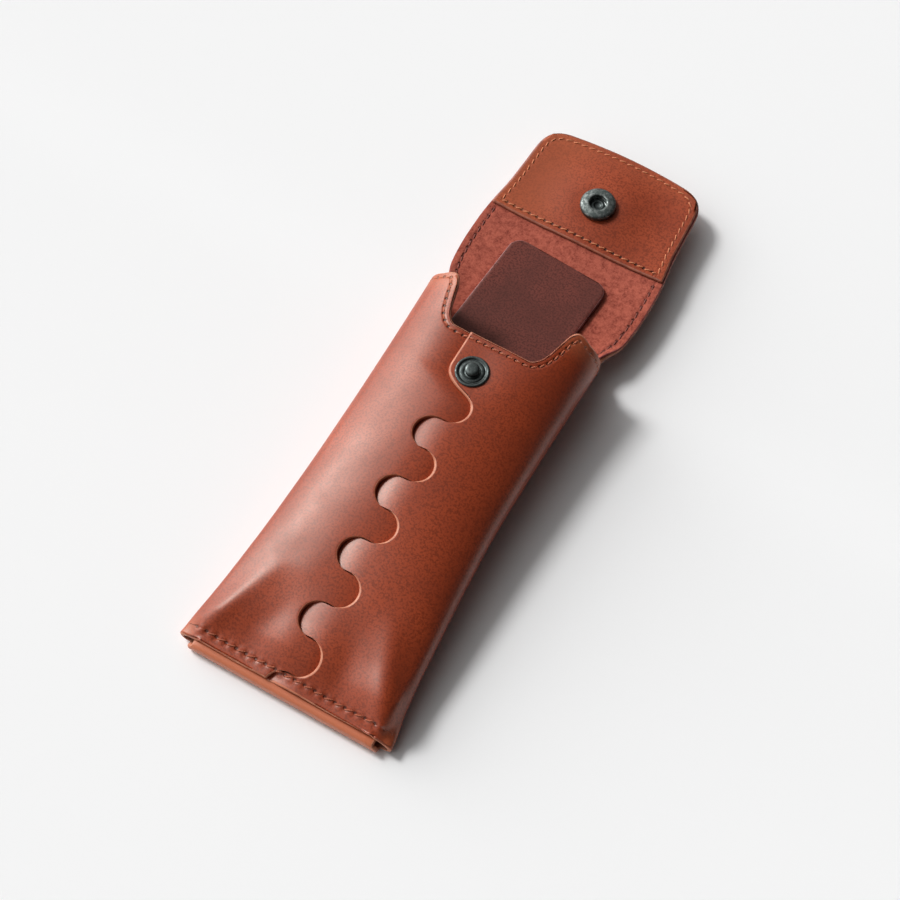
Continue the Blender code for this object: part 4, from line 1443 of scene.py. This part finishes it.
lining_points, lining_faces, lining_last = lining()
inside = sheet(
    "suede_lining", lining_points, lining_faces, SUEDE, 0.25, None, (RED_SUEDE, SUEDE_EDGE, TAN_FLESH),
    joined=lining_last, marks=flap_marks((root_side, root_side * [-1, 1]), SUEDE_TOP),
)
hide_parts("pouch_lining", "flap_spine_suede")
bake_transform(inside)


# Insert


def insert_row(u):
    """A row across the insert, which lies a little askew and has rounded corners at its end."""
    top = SUEDE_V + SUEDE + PLY_GAP + INSERT
    past = max(u - (INSERT_END_U - INSERT_CORNER), 0.0)
    half_width = INSERT_HALF_WIDTH - INSERT_CORNER + math.sqrt(max(INSERT_CORNER**2 - past**2, 0.0))
    s = np.linspace(-INSERT_HALF_WIDTH, INSERT_HALF_WIDTH, INSERT_COLUMNS) * half_width / INSERT_HALF_WIDTH
    across = s + INSERT_TURN * (u - INSERT_END_U)
    up = u - INSERT_TURN * s
    flat = np.stack([across, HINGE_Y + up, np.full(INSERT_COLUMNS, top)], 1)
    return np.where(up[:, None] < 0, flat, flap_point(across, np.maximum(up, 0.0), top))


def insert_part(name, us, joined_row):
    """The insert through these rows, of which one meets its other part."""
    index = np.arange(len(us) * INSERT_COLUMNS).reshape(-1, INSERT_COLUMNS)
    points = np.concatenate([insert_row(u) for u in us])
    finishes = (PLUM, PLUM_EDGE, PLUM)
    return sheet(name, points, grid(index), INSERT, 0.35, None, finishes, joined=index[joined_row])


corner_start = INSERT_END_U - INSERT_CORNER
corner_us = corner_start + INSERT_CORNER * np.sin(np.linspace(0, 1, 9)[1:] * math.pi / 2 * 0.93)
in_pouch = np.linspace(INSERT_START - HINGE_Y, -4, 56)
at_root = np.concatenate([np.linspace(-4, 10, 24)[1:], np.linspace(10, SPLIT_U, 8)[1:]])
first_part = insert_part("insert_sheet", np.concatenate([in_pouch, at_root]), -1)
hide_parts("insert_body", "insert_end")
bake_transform(first_part)
end_us = np.concatenate([np.linspace(SPLIT_U, corner_start, 14), corner_us])
end_part = insert_part("insert_sheet_end", end_us, 0)
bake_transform(end_part)


# Snap

TURN_STEPS = 96
CORNER_EASE = 0.06
CORNER_SHARE = 0.35


def turned(name, profile, put, finish, body):
    """Turns a closed (radius, height) outline. Its corners are eased by points close to each side of them."""
    outline = []
    count = len(profile)
    for k, (r, h) in enumerate(profile):
        p = np.array([r, h], float)
        if r < 1e-6:
            outline.append(p)
            continue
        for q in (profile[k - 1], profile[(k + 1) % count]):
            gap = np.array(q, float) - p
            reach = np.linalg.norm(gap)
            outline.append(p + gap / reach * min(CORNER_EASE, reach * CORNER_SHARE) if reach > 1e-6 else p)
    verts, faces, rings = [], [], []
    for r, h in outline:
        if r < 1e-6:
            rings.append([len(verts)] * TURN_STEPS)
            verts.append(put(0.0, 0.0, h))
            continue
        rings.append(list(range(len(verts), len(verts) + TURN_STEPS)))
        for i in range(TURN_STEPS):
            turn = 2 * math.pi * i / TURN_STEPS
            verts.append(put(r * math.cos(turn), r * math.sin(turn), h))
    for a, b in zip(rings, rings[1:] + rings[:1]):
        for i in range(TURN_STEPS):
            j = (i + 1) % TURN_STEPS
            face = []
            for v in (a[i], a[j], b[j], b[i]):
                if v not in face:
                    face.append(v)
            if len(face) > 2:
                faces.append(tuple(face))
    obj = new_piece(name, np.array(verts), faces, (finish,))
    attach(obj, body)
    return obj


def on_front(x, along, height):
    """Point of the stud's side of the snap."""
    return x, STUD_Y + along, SEAT_Z + height


def on_flap(x, along, height):
    """Point of the socket's side of the snap."""
    u, up = SOCKET_U + along, height - AXIS_V
    y = HINGE_Y + u * math.cos(TILT) - up * math.sin(TILT)
    return x, y, AXIS_V + u * math.sin(TILT) + up * math.cos(TILT)


def snaps():
    """The five parts of the snap. Their outlines are (radius, height)."""
    seat, flange, knob, knob_height = 0.35, 6.15, 2.6, 1.9
    top, bore = seat + 0.9, 2.15
    crest = top + knob_height
    stud = turned(
        "stud",
        [
            (bore, seat - 0.3), (flange - 0.4, seat - 0.3), (flange, seat + 0.25), (flange, top - 0.3),
            (flange - 0.3, top), (flange - 0.9, top), (flange - 1.35, top - 0.45), (flange - 1.75, top - 0.5),
            (flange - 2.05, top - 0.2), (knob + 0.5, top - 0.2), (knob + 0.15, top - 0.55),
            (knob - 0.35, top - 0.35), (knob - 0.35, top + 0.45 * knob_height),
            (knob, top + 0.72 * knob_height), (knob - 0.12, crest - 0.35), (knob - 0.6, crest - 0.08),
            (knob - 1.3, crest), (0.0, crest), (0.0, top + 0.3), (bore, top + 0.3),
        ],
        on_front, GUNMETAL, "pouch",
    )
    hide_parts("snap_stud")
    under = -LEFT_UNDER - LEATHER
    eyelet = turned(
        "eyelet",
        [
            (0.0, under - 0.8), (4.6, under - 0.8), (5.0, under - 0.5), (5.0, under), (1.9, under),
            (1.9, top + 0.1), (0.0, top + 0.1),
        ],
        on_front, GUNMETAL, "pouch",
    )
    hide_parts("snap_eyelet")
    base, face, ring, bore = SOCKET_V, SOCKET_V + 2.7, 6.7, 3.0
    socket = turned(
        "socket",
        [
            (2.3, base - 0.1), (ring - 0.5, base - 0.1), (ring, base + 0.4), (ring, face - 1.2),
            (ring - 0.12, face - 0.85), (ring - 0.45, face - 0.5), (ring - 0.95, face - 0.3),
            (bore + 1.0, face), (bore + 0.45, face), (bore + 0.1, face - 0.25), (bore, face - 0.85),
            (bore + 0.7, face - 0.9), (bore + 0.7, face - 1.55), (bore, face - 1.6),
            (bore, base + 0.35), (2.3, base + 0.35),
        ],
        on_flap, GUNMETAL_WORN, "flap_tip",
    )
    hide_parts("snap_socket")
    wire = 0.25
    turns = np.linspace(0, 2 * math.pi, 13)[:-1]
    circle = [(bore + 0.2 + wire * math.cos(t), face - 1.2 + wire * math.sin(t)) for t in turns]
    spring = turned("spring", circle, on_flap, GUNMETAL_RUBBED, "flap_tip")
    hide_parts("snap_spring")
    roll = base + 0.45
    cap = turned(
        "cap",
        [
            (0.0, -1.72), (3.4, -1.66), (5.6, -1.37), (7.0, -0.84), (7.5, -0.44), (7.5, -PLY_GAP),
            (1.9, -PLY_GAP), (1.9, roll), (2.7, roll), (2.5, roll + 0.3), (1.6, roll + 0.35),
            (1.1, roll - 0.2), (0.0, roll - 0.2),
        ],
        on_flap, GUNMETAL, "flap_tip",
    )
    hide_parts("snap_cap")


snaps()


# Stage


def direction(turn, rise):
    """Direction at this height in the sky, turned this far from the right towards the flap."""
    return Vector((math.cos(turn) * math.cos(rise), math.sin(turn) * math.cos(rise), math.sin(rise)))


def facing_away(obj, toward):
    """Turns a lamp or the camera so that it looks back from there."""
    obj.rotation_mode = "QUATERNION"
    obj.rotation_quaternion = (-toward).to_track_quat("-Z", "Y")
    bpy.context.scene.collection.objects.link(obj)


def pale_floor():
    """A wide floor that the pouch lies on."""
    material = bpy.data.materials.new("pale_floor")
    material.use_nodes = True
    shader = material.node_tree.nodes["Principled BSDF"].inputs
    shader["Base Color"].default_value = FLOOR_COLOUR
    shader["Roughness"].default_value = 0.9
    shader["Specular IOR Level"].default_value = 0.1
    ys = np.concatenate([[-FLOOR_REACH], np.linspace(FLOOR[0][0], FLOOR[-1][0], 61), [FLOOR_REACH]])
    points = [(x, y, z) for y, z in zip(ys, table(FLOOR, 1, ys)) for x in (-FLOOR_REACH, FLOOR_REACH)]
    floor = new_piece("floor", points, grid(np.arange(len(points)).reshape(-1, 2)), (material,))


def room_light():
    """Soft light from all round, by how far to the left it comes from."""
    world = bpy.data.worlds.new("studio")
    bpy.context.scene.world = world
    world.use_nodes = True
    tree = world.node_tree
    background = tree.nodes["Background"].inputs
    background["Color"].default_value = (1, 1, 1, 1)
    parts = tree.nodes.new("ShaderNodeSeparateXYZ")
    feed(tree, parts.inputs[0], tree.nodes.new("ShaderNodeTexCoord").outputs["Generated"])
    room = ranged(tree, parts.outputs["X"], -0.55, 0.2, ROOM_BRIGHT, ROOM_DARK)
    horizon = ranged(tree, parts.outputs["X"], -1.0, -0.3, ROOM_HORIZON, 0.0)
    feed(tree, background["Strength"], plus(tree, room, horizon))


def window_light(name, turn, rise, size, light):
    """A window's light, so bright that a level floor gets this much of it."""
    turn, rise = math.radians(turn), math.radians(rise)
    lamp = bpy.data.objects.new(name, bpy.data.lights.new(name, "SUN"))
    lamp.data.angle = math.radians(size)
    lamp.data.energy = light * math.pi / math.sin(rise)
    facing_away(lamp, direction(math.pi - turn, rise))


def camera():
    """The photograph's view."""
    toward = direction(CAMERA_TURN - math.pi / 2, CAMERA_HEIGHT)
    view = bpy.data.objects.new("camera", bpy.data.cameras.new("camera"))
    view.data.lens = CAMERA_LENS
    view.data.sensor_width = 36.0
    view.data.clip_start = 0.01
    view.location = Vector(to_frame(CAMERA_AIM)) + toward * CAMERA_DISTANCE
    facing_away(view, toward)
    bpy.context.scene.camera = view


pale_floor()
room_light()
window_light("window", WINDOW_TURN, WINDOW_HEIGHT, WINDOW_SIZE, WINDOW_LIGHT)
window_light("low_window", LOW_TURN, LOW_HEIGHT, LOW_SIZE, LOW_LIGHT)
camera()
bpy.context.scene.view_settings.view_transform = "Standard"
